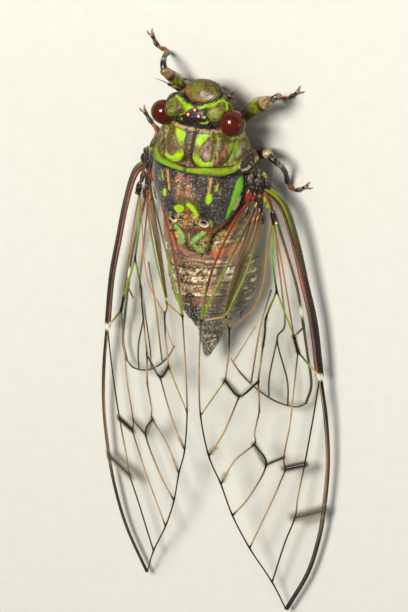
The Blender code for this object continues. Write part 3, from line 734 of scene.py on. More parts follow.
# Dark or pale nodes painted over every vein that passes: place, radius, tone
BLACK_NODES = {
    0.2: "cu_split",
    0.25: "rm_stub",
    0.3: "r_fork r_split m_low",
    0.32: "m_bend",
    0.35: "cu_end claval_tip y_arm",
    0.4: "rm_in a1",
    0.42: "m_fork cua2",
    0.5: "cua1 y_foot a6",
    0.7: "a2 a3 a4 a5",
}
FORE_NODES = [("arculus", 0.42, "soot"), ("nodus", 0.4, "bone")]
FORE_NODES += [(name, reach, "black") for reach, names in BLACK_NODES.items() for name in names.split()]
# Brown stains in the film: line, half width, softness and strength
FORE_STAINS = [
    (["rm_out", "rm_in"], 0.16, 0.34, 1.0),
    (["ra2", "r_cross_in"], 0.14, 0.62, 0.8),
    (["y_arm", "y_foot"], 0.08, 0.3, 0.8),
    (["y_foot", "rm_stub"], 0.05, 0.26, 0.7),
    (["cua1", "cua2"], 0.1, 0.3, 0.8),
    (["m_low", "cua1"], 0.03, 0.22, 0.5),
    ([(5.0, 0.4), (4.85, -1.9)], 0.04, 0.2, 0.6),
    (["r_fork", "r_split"], 0.06, 0.24, 0.8),
    ([(1.1, -11.4), (1.45, -10.9)], 0.06, 0.3, 0.7),
    ([(1.85, -13.9), (2.15, -13.3)], 0.06, 0.3, 0.6),
]

HIND = {"root": (5.0, 8.35), "x_low": (5.4, -1.9), "x_high": (5.9, -0.6), "elbow": (3.95, -0.8)}
HIND_LEAD = [
    (4.7, 9.15), (5.6, 7.4), (6.35, 4.65), (7.0, 2.2), (7.4, 0.0), (7.7, -2.6), (8.05, -5.35),
    (7.8, -7.4), (6.8, -7.95), (5.3, -7.5), (3.85, -6.4), (2.75, -5.05), (2.05, -3.55),
]
HIND_TRAIL = [(4.25, 7.7), (4.55, 5.05), (4.55, 2.4), (4.35, 0.4), (3.6, -1.2), (2.6, -2.6), (2.05, -3.55)]
HIND_VEINS = {
    "costa": (
        0.11,
        ["root", (5.95, 5.05), (6.65, 2.4), (7.1, -0.4), (7.45, -3.0), (7.75, -5.55), (7.4, -7.2)],
        "sepia rust umber sepia",
    ),
    "sector": (
        0.07,
        ["root", (5.25, 5.45), (5.6, 2.6), "x_high", "x_low", (6.1, -5.25), (6.15, -7.4)],
        "citron orange tan sepia",
    ),
    "cross": (0.07, [(7.15, -0.8), (6.6, -1.5)], "black sepia"),
    "median": (0.065, ["x_low", (4.9, -4.95), (4.85, -6.7)], "sepia"),
    "cubital": (0.07, [(4.95, 2.2), (4.25, -1.0), (3.65, -5.55)], "umber tan sepia"),
    "fold": (0.045, ["elbow", (2.5, -3.75)], "tan"),
    "ambient": (
        0.07,
        [(7.4, -7.2), (6.7, -7.55), (5.35, -7.15), (4.0, -6.1), (2.95, -4.8), (2.3, -3.6)],
        "sepia sepia sepia sepia sepia tan",
    ),
}
HIND_NODES = [((6.98, 0.5), 0.62, "bone"), ((7.13, -0.6), 0.4, "black"), ("x_low", 0.3, "black")]
HIND_STAINS = [([(7.4, -7.2), (5.35, -7.15), (2.95, -4.8)], 0.03, 0.25, 0.35)]


def stations(names, junctions):
    """Plan places of junction names and of plain places."""
    return np.array([junctions[n] if isinstance(n, str) else n for n in names], float)


def vein_path(names, junctions, offset=0.0):
    """Plan line of a vein, one point every step or so, shifted sideways by offset."""
    path = curve(stations(names, junctions), 10)
    path = even(path, max(3, int(run_of(path)[-1] / VEIN_STEP)))
    along = np.gradient(path, axis=0)
    along /= np.linalg.norm(along, axis=1)[:, None]
    return path + offset * np.stack([-along[:, 1], along[:, 0]], axis=1)


def vein_strip(names, junctions, nodes, drop, half, tones, offset=0.0):
    """A vein as a slightly flattened tube on the roof surface, with its colours."""
    plan = vein_path(names, junctions, offset)
    share = np.linspace(0, 1, len(plan))
    places = run_of(stations(names, junctions))
    named = tones.split()
    stops = np.array([tone(name) for name in named + named[-1:] * (len(places) - len(named))])
    places = places / places[-1]
    colour = np.stack([np.interp(share, places, stops[:, k]) for k in range(3)], axis=1)
    swell = np.ones(len(plan))
    for where, reach, name in nodes:
        centre = np.array(junctions[where] if isinstance(where, str) else where)
        near = np.clip(1.5 - 1.5 * np.linalg.norm(plan - centre, axis=1) / reach, 0, 1)[:, None]
        colour = colour * (1 - near) + tone(name) * near
        swell += 0.22 * near[:, 0]
    path = np.column_stack([plan, roof_height(*plan.T) - drop])
    rings = sweep(path, half * swell, sides=8, flatten=0.8)
    colour = np.vstack([colour[[0, 0, 0]], colour, colour[[-1, -1, -1]]])
    around = np.repeat(colour, 8, axis=0)
    return loft(rings), np.vstack([around, colour[0], colour[-1]])


def vein_network(veins, junctions, nodes, drop, strips):
    """Every vein of a wing, then the parallel strips of its thick edges."""
    made = [vein_strip(names, junctions, nodes, drop, half, tones) for half, names, tones in veins.values()]
    for names, parallels in strips:
        for offset, half, tones in parallels:
            made.append(vein_strip(names, junctions, nodes, drop, half, tones, offset))
    return gathered(made)


def film_sheet(lead, trail, veins, junctions, stains, drop):
    """Film between two edges: rows run from edge to edge, the sheet domes between the veins
    and closes on itself a hair's breadth lower."""
    lead = even(curve(lead, 10), FILM_ROWS)
    trail = even(curve(trail, 10), FILM_ROWS)
    across = np.linspace(0, 1, FILM_COLUMNS)[:, None]
    plan = lead[:, None] * (1 - across) + trail[:, None] * across
    flat = plan.reshape(-1, 2)
    gap = np.full(len(flat), 9.0)
    for half, names, _ in veins.values():
        gap = np.minimum(gap, line_distance(flat, vein_path(names, junctions)))
    dome = 1 - bell(gap, 0, 0.55)
    ripple = noise(np.column_stack([flat, 0 * gap]), 1.1, 5) - 0.5
    height = roof_height(*flat.T) - drop + FILM_DOME * dome + 0.04 * ripple * dome
    stain = np.zeros(len(flat))
    jagged = flat + 0.1 * np.column_stack([ripple, -ripple])
    for names, half, soft, strength in stains:
        line = even(curve(stations(names, junctions), 4), 24)
        stain = np.maximum(stain, strength * ramp(line_distance(jagged, line), half + soft, -soft))
    veil = bell(gap, 0, 0.16)
    rows = plan.shape[:2]
    top = np.column_stack([flat, height + FILM_THICKNESS / 2]).reshape(*rows, 3)
    low = np.column_stack([flat, height - FILM_THICKNESS / 2]).reshape(*rows, 3)
    rings = np.concatenate([top, low[:, ::-1]], axis=1)

    def wrapped(value):
        value = value.reshape(rows)
        value = np.concatenate([value, value[:, ::-1]], axis=1).ravel()
        return np.concatenate([value, value[[0, -1]]])

    return loft(rings), wrapped(stain), wrapped(veil)


def make_wing(kind, veins, junctions, nodes, stains, drop, lead, trail, strips):
    """The film and the veins of a pair of wings; the left ones are the right ones mirrored."""
    sheet, stain, veil = film_sheet(lead, trail, veins, junctions, stains, drop)
    tint = paint(len(sheet[0]), "film")
    for side, turn in (("right", lambda form: form), ("left", mirrored)):
        node = f"{kind}_{side}"
        network, colours = vein_network(veins, junctions, nodes, drop, strips[side])
        values = {"stain": stain, "veil": veil}
        make_piece(f"{kind}_film_{side}", turn(sheet), FILM_FINISH, [node], tint, values)
        make_piece(f"{kind}_veins_{side}", turn(network), VEIN_FINISH, [node], colours)


def make_wings():
    """Both pairs of wings; only the forewings have thick edges."""
    strips = {side: [(COSTA, COSTA_STRIPS[side]), (OUTER_EDGE, EDGE_STRIPS)] for side in COSTA_STRIPS}
    none = {side: [] for side in COSTA_STRIPS}
    make_wing("forewing", FORE_VEINS, FORE, FORE_NODES, FORE_STAINS, 0.0, FORE_LEAD, FORE_TRAIL, strips)
    make_wing("hindwing", HIND_VEINS, HIND, HIND_NODES, HIND_STAINS, HIND_DROP, HIND_LEAD, HIND_TRAIL, none)


# Hairs

BAKE_PATCH = 0.003
ROOT_DEPTH = 0.02


class Coat:
    """Hairs from one or more skins, kept as roots, normals, lies, lengths and colours until one
    piece is made of them."""

    def __init__(self, seed):
        self.draw = np.random.default_rng(seed)
        self.roots, self.lies, self.ups, self.lengths, self.colours, self.places = [], [], [], [], [], []

    def grow(self, rings, count, density, length, colour, lie=(0.0, -1.0, -0.05), lift=0.35):
        """Scatters roots over the grid of rings, keeps them where density allows, and notes
        each one's surface normal, lie and place on the unwrapped grid."""
        rows, sides = rings.shape[:2]
        along = self.draw.uniform(0, rows - 1.001, count)
        around = self.draw.uniform(0, sides, count)
        keep = self.draw.uniform(0, 1, count)
        change = self.draw.uniform(0.7, 1.3, count)
        wander = self.draw.normal(0, 0.22, (count, 3))
        i, j = along.astype(int), around.astype(int) % sides
        u, v = (along - i)[:, None], (around % 1)[:, None]
        k = (j + 1) % sides
        near = rings[i, j] * (1 - v) + rings[i, k] * v
        far = rings[i + 1, j] * (1 - v) + rings[i + 1, k] * v
        root = near * (1 - u) + far * u
        normal = ring_normals(rings)[i, j]
        good = keep < density(root)
        flow = np.asarray(lie) + wander
        flow = flow - normal * (flow * normal).sum(1)[:, None]
        flow /= np.linalg.norm(flow, axis=1)[:, None]
        self.roots.append(root[good])
        self.ups.append(normal[good])
        self.lies.append((flow + lift * normal)[good])
        self.lengths.append((length * change)[good])
        self.colours.append(colour(root[good]))
        self.places.append(np.column_stack([around / sides, along / rows])[good])

    def make(self, name, radius=0.014):
        """Each hair is a three-sided spike that bends back towards the skin: a sunk root ring,
        a ring at its middle and a point."""
        root, up, lie = (np.vstack(part) for part in (self.roots, self.ups, self.lies))
        length = np.concatenate(self.lengths)[:, None]
        lie = lie / np.linalg.norm(lie, axis=1)[:, None]
        side = np.cross(lie, up)
        side /= np.linalg.norm(side, axis=1)[:, None]
        over = np.cross(side, lie)
        turn = np.arange(3) * 2 * math.pi / 3
        circle = np.cos(turn)[:, None] * side[:, None] + np.sin(turn)[:, None] * over[:, None]
        base = (root - up * ROOT_DEPTH)[:, None] + radius * circle
        middle = (root + lie * length * 0.5)[:, None] + radius * 0.7 * circle
        tip = root + lie * length - up * length * 0.12
        points = np.concatenate([base, middle, tip[:, None]], axis=1)
        count = len(points)
        quads = np.array([[0, 1, 4, 3], [1, 2, 5, 4], [2, 0, 3, 5]])
        tris = np.array([[3, 4, 6], [4, 5, 6], [5, 3, 6], [0, 2, 1]])
        start = np.arange(count)[:, None, None] * 7
        faces = (quads + start).reshape(-1, 4), (tris + start).reshape(-1, 3)
        form = facing_out(points.reshape(-1, 3), *faces)
        outer = np.array([[-1, -1], [1, -1], [0, 1]])
        corners = BAKE_PATCH / 2 * np.vstack([outer, 0.6 * outer, [[0, 0]]])
        uv = (np.vstack(self.places) * 0.98 + 0.01)[:, None] + corners
        colour = np.repeat(np.vstack(self.colours), 7, axis=0)
        make_piece(name, form, HAIR_FINISH, colours=colour, uv=uv.reshape(-1, 2))


# Head: it is turned a little to the left about its right eye, as the insect holds it

HEAD_TURN = 3.0
HEAD_PIVOT = (2.76, 15.95)
EYE = (2.76, 15.95, 4.15)
EYE_RADII = (0.98, 0.95, 0.9)
LEFT_EYE = (-2.64, 16.0, 4.1)
LEFT_EYE_SHARE = 0.94
# Direction of the painted glow across each compound eye; the far side gets painted shade
EYE_PAINTED_GLOW = np.array([0.5, -0.62, -0.35])
OCELLI = [(0.1, 16.74, 4.54), (0.43, 16.36, 4.66), (-0.38, 16.38, 4.66)]
OCELLUS_RADII = (0.16, 0.17, 0.14)
# Where the painted highlight sits on each simple eye, measured from its middle
LENS_HIGHLIGHT_OFFSET = (0.03, 0.05, 0.13)
HEAD_ROWS = [
    (15.3, 1.5, 2.3, 3.2, 4.1, 0, 2.2),
    (15.6, 2.1, 2.0, 3.25, 4.46, 0, 2.4),
    (16.0, 2.3, 1.75, 3.2, 4.6, 0, 2.5),
    (16.4, 2.3, 1.6, 3.15, 4.5, 0, 3.3),
    (16.8, 2.18, 1.5, 3.05, 4.28, 0, 3.4),
    (17.15, 1.85, 1.55, 2.95, 3.95, 0, 3.0),
    (17.42, 1.4, 1.8, 2.9, 3.5, 0, 2.2),
]
DOME_LEFT = [
    (-2.3, 16.8), (-2.05, 17.16), (-1.6, 17.38), (-1.15, 17.3), (-0.84, 17.02), (-0.72, 16.75),
    (-0.82, 16.45), (-1.1, 16.22), (-1.6, 16.14), (-2.05, 16.2), (-2.32, 16.45),
]
DOME_RIGHT = [
    (1.0, 16.6), (1.08, 16.9), (1.35, 17.14), (1.7, 17.36), (2.02, 17.36), (2.26, 17.1),
    (2.3, 16.75), (2.14, 16.42), (1.84, 16.2), (1.44, 16.18), (1.14, 16.36),
]
TEMPLE = (1.86, 15.95)
LIME_LEFT = [(-1.55, 17.42), (-1.2, 17.32), (-0.88, 17.1), (-0.66, 16.95), (-0.42, 16.86), (-0.2, 16.8)]
LIME_WEDGE = [
    (-0.9, 17.08), (-0.68, 17.0), (-0.3, 16.88), (-0.14, 16.78), (-0.48, 16.68), (-0.6, 16.55),
    (-0.66, 16.32), (-0.76, 16.36), (-0.72, 16.7),
]
LIME_RIGHT = [(0.3, 16.8), (0.69, 16.94), (1.1, 17.1), (1.43, 17.24)]
LIME_FRONT = [(1.3, 17.2), (1.52, 17.26), (1.62, 17.38)]
LIME_ARC = [(1.62, 17.4), (2.04, 17.4), (2.3, 17.14), (2.36, 16.76), (2.24, 16.45)]
LIME_BACK = [
    [(-0.84, 16.36), (-1.02, 16.27), (-1.16, 16.1), (-1.08, 15.86)],
    [(-1.3, 15.86), (-1.14, 15.7), (-0.9, 15.6)],
    [(0.72, 16.39), (0.85, 16.23), (0.97, 15.91), (1.09, 15.63)],
    [(0.4, 15.74), (0.66, 15.8), (0.92, 15.84)],
]
BLACK_PLATE = [
    (-0.7, 16.34), (-0.56, 16.56), (-0.19, 16.83), (0.09, 16.88), (0.39, 16.72), (0.66, 16.51),
    (0.74, 16.23), (0.48, 15.98), (-0.11, 15.9), (-0.64, 15.93),
]


def turned(points):
    """The head's points turned about the right eye."""
    c, s = math.cos(math.radians(HEAD_TURN)), math.sin(math.radians(HEAD_TURN))
    off = points[..., :2] - HEAD_PIVOT
    plan = off @ np.array([[c, s], [-s, c]]) + HEAD_PIVOT
    return np.concatenate([plan, points[..., 2:]], axis=-1)


def turned_form(form):
    """A form turned with the head."""
    return turned(form[0]), form[1], form[2]


def head_relief(p):
    """Domes over the feelers, temples beside the eyes, a raised ocellar plate, and grooves between."""
    plan = p[:, :2]
    pair = both_sides(plan)
    upper = ramp(p[:, 2], 3.1, 0.5)
    dome = patch(plan, DOME_LEFT, 0.45) + patch(plan, DOME_RIGHT, 0.45)
    temple = spot(pair, TEMPLE, (0.45, 0.42), soft=1.1)
    plate = spot(pair, (0.0, 16.35), (0.66, 0.55), soft=0.8)
    groove = stroke(pair, [(1.0, 16.2), (0.9, 15.9), (0.2, 15.72)], 0.03, 0.2)
    wrinkle = noise(p, 0.3, 2) - 0.5
    grain = noise(p, 0.14, 14) - 0.5
    lift = 0.42 * dome + 0.34 * temple + 0.08 * plate - 0.1 * groove
    return upper * (lift + 0.07 * grain * (1 - dome)) + 0.05 * wrinkle


def head_paint(p):
    """Black, with olive domes, green lines between them and a black plate under the simple eyes."""
    plan = ragged(p, 0.04)
    pair = both_sides(plan)
    speck = noise(p, 0.12, 4)
    blotch = noise(p, 0.3, 5)
    upper = ramp(p[:, 2], 2.9, 0.5)
    fore = ramp(p[:, 2], 2.5, 0.4)
    domes = np.maximum(patch(plan, DOME_LEFT, 0.08), patch(plan, DOME_RIGHT, 0.08)) * fore
    limes = [stroke(plan, LIME_LEFT, 0.045), patch(plan, LIME_WEDGE), stroke(plan, LIME_RIGHT, 0.085)]
    limes += [stroke(plan, LIME_FRONT, 0.07), stroke(plan, LIME_ARC, 0.04)]
    back = np.maximum.reduce([stroke(plan, line, 0.055) for line in LIME_BACK])
    return paint(
        len(p), "black",
        (0.5 * (blotch > 0.5), "soot"),
        (0.5 * (speck > 0.62) * upper, "umber"),
        (0.45 * (speck > 0.7) * upper, "tan"),
        *over(domes, (1, "olive"), (0.35, "moss", blotch > 0.48), (0.4, "umber", blotch < 0.4)),
        (0.35 * domes * (speck < 0.4), "sepia"),
        (0.5 * stroke(plan, [(1.3, 16.45), (1.6, 16.6), (1.95, 16.8)], 0.12) * upper, "moss"),
        (0.4 * stroke(plan, [(1.2, 16.7), (1.45, 16.9), (1.8, 17.0)], 0.06) * upper, "ochre"),
        *((0.7 * stroke(plan, dome + dome[:1], 0.03) * upper, "black") for dome in (DOME_LEFT, DOME_RIGHT)),
        (0.9 * back * upper * (speck > 0.42), "lime"),
        (np.maximum.reduce(limes) * fore * (0.75 + 0.25 * (speck > 0.35)), "lime"),
        (0.95 * patch(plan, BLACK_PLATE) * upper, "black"),
        (0.5 * spot(pair, TEMPLE, (0.4, 0.36), soft=0.5) * (speck > 0.55), "umber"),
        (0.5 * band(p[:, 2], 2.0, 3.0, 0.3) * (blotch > 0.52), "olive"),
        (np.clip(2.1 - p[:, 2], 0, 1), "umber"),
    )


BROW_ROWS = [
    (16.9, 1.2, 1.75, 2.8, 3.3, 0, 2.0),
    (17.2, 1.4, 1.7, 2.8, 3.4, 0, 2.0),
    (17.5, 1.42, 1.75, 2.8, 3.5, 0, 2.0),
    (17.75, 1.25, 1.9, 2.85, 3.45, 0, 2.0),
    (17.95, 0.92, 2.2, 2.9, 3.3, 0, 2.0),
    (18.06, 0.45, 2.6, 2.95, 3.16, 0, 2.0),
    (18.09, 0.14, 2.82, 2.95, 3.07, 0, 2.0),
]
BROW_CENTRE = (0.24, 17.64, 3.34)
BROW_RADII = (1.47, 0.94, 0.62)
BROW_SLOPE = math.radians(37)
BROW_GROOVES = 10


def brow_grooves(p):
    """Grooves on the dome, from its unit sphere: ovals one inside the other, strongest on the
    right and behind, faint on the left and gone in front."""
    across = ramp(p[:, 0], 0.05, 0.3) + 0.4 * ramp(-p[:, 0], 0.3, 0.3)
    across *= ramp(p[:, 1], 0.55, -0.4)
    return across * np.clip(np.cos(np.hypot(p[:, 0], p[:, 1]) * BROW_GROOVES * 2 * math.pi) * 1.5, 0, 1)


def brow_dome():
    """An ellipsoid leaning forwards, with its oval grooves, and its unit sphere for the paint."""
    unit = ellipsoid(np.zeros(3), np.ones(3), 90, 144)
    sphere = unit[0]
    c, s = math.cos(BROW_SLOPE), math.sin(BROW_SLOPE)
    relief = 1 - 0.045 * brow_grooves(sphere) + 0.03 * (noise(sphere, 0.3, 8) - 0.5)
    lean = np.array([[1, 0, 0], [0, c, -s], [0, s, c]])
    return (sphere * relief[:, None] * BROW_RADII @ lean + BROW_CENTRE, unit[1], unit[2]), sphere


def brow_paint(sphere):
    """Olive, dark in front and at the sides, browner behind, with pale ridges between the grooves."""
    plan = sphere[:, :2] + 0.1 * (noise(sphere, 0.2, 3)[:, None] - 0.5)
    blotch = noise(sphere, 0.45, 9)
    speck = noise(sphere, 0.07, 10)
    grooves = brow_grooves(sphere)
    rim = ramp(np.hypot(*plan.T), 0.86, 0.1)
    return paint(
        len(sphere), "olive",
        (0.6 * (blotch > 0.5), "umber"),
        (0.45 * (blotch < 0.42), "moss"),
        (0.4 * spot(plan, (0.0, -0.6), (0.5, 0.22), soft=0.9), "tan"),
        (0.35 * spot(plan, (-0.66, -0.15), (0.2, 0.3), soft=0.9), "ochre"),
        (0.3 * spot(plan, (-0.3, 0.1), (0.25, 0.4), soft=0.9), "moss"),
        (0.35 * (speck > 0.62), "ochre"),
        (0.35 * (speck < 0.36), "sepia"),
        (0.7 * grooves, "sepia"),
        (0.7 * ramp(plan[:, 1], 0.2, 0.5), "sepia"),
        (0.85 * rim, "soot"),
    )


def eye_paint(p, centre):
    """Dark red-brown, with a painted glow lighter towards the lower right and painted shade in soot on the
    opposite side.
    """
    off = (p - centre) @ EYE_PAINTED_GLOW
    painted_glow = np.clip(off * 0.6 - 0.1, 0, 0.8)
    return paint(len(p), "blood", (painted_glow, "rust"), (np.clip(-off - 0.5, 0, 0.6), "soot"))


def make_head():
    """The head's shell, the bulge of its face, its eyes, feelers and beak."""
    rings = raised(section_rings(HEAD_ROWS, 168, 14), head_relief)
    make_shell("head_shell", rings, HEAD_FINISH, "head", head_paint, turned_form)
    face = loft(section_rings(BROW_ROWS, 96, 8))
    dome, sphere = brow_dome()
    brow, colours = gathered([(face, paint(len(face[0]), "umber")), (dome, brow_paint(sphere))])
    make_piece("brow_bulge", turned_form(brow), BROW_FINISH, ["postclypeus"], colours)
    lens = joined([ellipsoid(centre, OCELLUS_RADII, 12, 20) for centre in OCELLI])
    # Painted highlight: a pale bone spot near the top of each ruby simple eye
    highlight_gap = np.min([np.linalg.norm(lens[0] - centre - LENS_HIGHLIGHT_OFFSET, axis=1) for centre in OCELLI], axis=0)
    colours = paint(len(lens[0]), "ruby", (0.85 * np.clip((0.1 - highlight_gap) / 0.05, 0, 1), "bone"))
    make_piece("simple_eyes", turned_form(lens), LENS_FINISH, (), colours)
    for side, label in ((1, "right"), (-1, "left")):
        share = 1 if side > 0 else LEFT_EYE_SHARE
        centre = np.array(EYE if side > 0 else LEFT_EYE)
        eye = ellipsoid(centre, np.array(EYE_RADII) * share, 48, 72)
        colours = eye_paint(eye[0], centre)
        make_piece(f"compound_eye_{label}", turned_form(eye), EYE_FINISH, [f"eye_{label}"], colours)
        feeler, colours = antenna(side)
        feeler = turned_form(feeler)
        make_piece(f"feeler_{label}", feeler, LEG_FINISH, [f"antenna_{label}"], colours)
    beak, colours = beak_form()
    make_piece("beak_sheath", beak, LEG_FINISH, ["rostrum"], colours)
    return turned(rings)


def antenna(side):
    """A stout base of two joints and a fine bristle that tapers to a point."""
    base = curve([(side * 2.0, 17.3, 2.85), (side * 2.25, 17.62, 3.15), (side * 2.45, 17.85, 3.4)], 8)
    bristle = curve([(side * 2.45, 17.85, 3.4), (side * 2.75, 18.15, 3.65), (side * 3.2, 18.45, 4.0)], 10)
    share = np.linspace(0, 1, len(base))
    stout = loft(sweep(base, 0.15 - 0.05 * share + 0.02 * np.cos(share * 4 * math.pi), 14))
    fine = loft(sweep(bristle, np.linspace(0.045, 0.014, len(bristle)), 8))
    ringed = paint(len(stout[0]), "sepia", (band(stout[0][:, 1], 17.55, 17.7, 0.1), "ochre"))
    return gathered([(stout, ringed), (fine, paint(len(fine[0]), "soot"))])


def beak_form():
    """A tapering tube under the head, with a dark line and tip."""
    path = curve([(0, 17.0, 1.3), (0, 16.4, 0.8), (0, 14.9, 0.58), (0, 12.0, 0.5), (0, 9.3, 0.5)], 14)
    share = np.linspace(0, 1, len(path))
    radii = np.interp(share, [0, 0.15, 0.3, 0.7, 1], [0.4, 0.33, 0.28, 0.22, 0.13])

    def keel(s, turn):
        return 1 + 0.12 * np.cos(turn * 2) + 0.05 * (np.sin(s * 40) > 0.9)

    form = loft(sweep(path, radii, 20, wave=keel))
    tip = ramp(form[0][:, 1], 10.6, -0.8)
    line = bell(form[0][:, 0], 0, 0.07)
    return form, paint(len(form[0]), "umber", (0.5 * line, "black"), (tip, "black"))


# Pronotum

PRONOTUM_ROWS = [
    (15.75, 1.2, 2.1, 3.1, 4.3, 0, 2.3),
    (15.5, 1.8, 1.6, 3.0, 4.62, 0, 2.5),
    (15.2, 2.25, 1.35, 2.95, 4.86, 0, 2.5),
    (14.9, 2.65, 1.25, 2.9, 5.05, 0, 2.4),
    (14.55, 3.0, 1.2, 2.85, 5.22, 0, 2.3),
    (13.95, 3.25, 1.15, 2.8, 5.42, 0, 2.3),
    (13.3, 3.52, 1.1, 2.8, 5.5, 0, 2.3),
    (12.95, 3.8, 1.1, 2.82, 5.52, 0, 2.3),
    (12.65, 4.0, 1.15, 2.9, 5.62, 0, 2.2),
    (12.35, 3.97, 1.2, 3.0, 5.62, 0, 2.2),
    (12.15, 3.8, 1.35, 3.05, 5.52, 0, 2.2),
    (12.1, 3.45, 1.8, 3.1, 5.2, 0, 2.2),
]
COLLAR_FRONT = [
    (-3.2, 13.5), (-2.95, 13.1), (-2.7, 12.84), (-2.3, 12.7), (-1.5, 12.63), (-0.7, 12.52), (-0.26, 12.4),
    (0.1, 12.52), (1.08, 12.72), (2.07, 12.79), (2.95, 12.83), (3.3, 12.98), (3.4, 13.4),
]
COLLAR_ENDS = (-3.05, 3.36)
COLLAR_REAR = [(2.0, 12.0), (2.9, 12.36), (3.3, 12.56), (3.5, 12.84)]
COLLAR_NOTCH = (-0.25, 12.36)
LIME_TOP = [
    (0.5, 14.95), (0.8, 15.04), (1.28, 15.04), (1.2, 14.78), (0.95, 14.46), (0.8, 14.12),
    (0.56, 14.04), (0.45, 14.4),
]
LIME_LOW = [
    (0.44, 13.82), (0.74, 13.8), (0.92, 13.46), (1.28, 13.2), (1.74, 13.3), (1.84, 13.1),
    (1.66, 12.9), (1.14, 12.8), (0.62, 13.02), (0.39, 13.44),
]
LIME_LINK = [(0.66, 14.24), (0.6, 14.0), (0.62, 13.74)]
MIDDLE_EDGE = [
    (12.8, 0.74), (13.1, 0.5), (13.6, 0.36), (14.2, 0.4), (14.6, 0.44), (15.0, 0.5), (15.3, 0.56),
]
INNER_LOBE = [
    (0.84, 14.2), (1.08, 14.56), (1.46, 14.74), (1.78, 14.45), (1.84, 13.98), (1.74, 13.52),
    (1.36, 13.28), (1.0, 13.56), (0.84, 13.88),
]
OUTER_LOBE = [
    (2.0, 14.8), (2.45, 14.72), (2.8, 14.4), (2.84, 13.9), (2.62, 13.45), (2.2, 12.98),
    (1.9, 12.98), (1.92, 13.8),
]
LOBE_LINE = [(1.95, 14.8), (1.93, 14.38), (1.86, 13.9), (1.8, 13.35)]
RUST_STRIPE = [(2.75, 14.48), (2.47, 13.9), (2.02, 13.12)]
GREEN_SLASH = [
    (2.74, 14.46), (3.02, 14.3), (3.14, 13.98), (3.1, 13.6), (2.88, 13.24), (2.78, 13.2), (2.84, 13.9),
]
GREY_STRIPE = [(3.2, 13.94), (3.18, 13.5), (2.93, 12.95)]
SIDE_RIDGE = [(2.75, 14.78), (3.05, 14.56), (3.42, 14.2), (3.6, 13.8)]
SIDE_KNOB = (3.69, 13.0)
LEFT_MARGIN = [(-2.8, 14.85), (-3.2, 14.2), (-3.55, 13.5), (-3.85, 12.9), (-3.6, 12.5)]
LOBE_GAPS = [
    [(0.82, 14.4), (0.78, 13.9), (0.95, 13.4)],
    [(1.92, 14.8), (1.9, 14.2), (1.82, 13.6), (1.68, 13.1)],
    [(2.84, 14.6), (2.86, 14.0), (2.7, 13.4), (2.4, 12.98)],
]


def pronotum_relief(p):
    """Rounded lobes with grooves between them, a sunk middle and a flat collar behind a deep groove."""
    pair = both_sides(p[:, :2])
    upper = ramp(p[:, 2], 3.0, 0.6)
    lobes = patch(pair, INNER_LOBE, 0.5) + patch(pair, OUTER_LOBE, 0.5) + patch(pair, LIME_LOW, 0.4)
    gaps = sum(stroke(pair, line, 0.02, 0.16) for line in LOBE_GAPS)
    front = line_distance(p[:, :2], curve(COLLAR_FRONT, 6))
    groove = bell(front, 0, 0.07)
    notch = spot(p[:, :2], COLLAR_NOTCH, (0.14, 0.3), soft=1.0)
    middle = bell(p[:, 0], 0, 0.3) * band(p[:, 1], 12.9, 15.2, 0.4)
    edge = band(p[:, 1], 15.15, 15.42, 0.15)
    knob = spot(pair, SIDE_KNOB, (0.4, 0.42), soft=1.0)
    knobs = (noise(p, 0.4, 13) - 0.5) * ramp(pair[:, 0], 3.2, 0.3)
    folds = noise(p * (1.0, 0.35, 1.0), 0.2, 26) - 0.5
    wrinkle = noise(p, 0.35, 12) - 0.5
    lift = 0.2 * np.clip(lobes, 0, 1) - 0.14 * np.clip(gaps, 0, 1) - 0.14 * groove - 0.1 * notch
    lift += 0.09 * folds * (p[:, 1] > 12.8)
    return upper * (lift - 0.09 * middle + 0.03 * edge) + 0.05 * wrinkle + 0.3 * knobs + 0.14 * knob


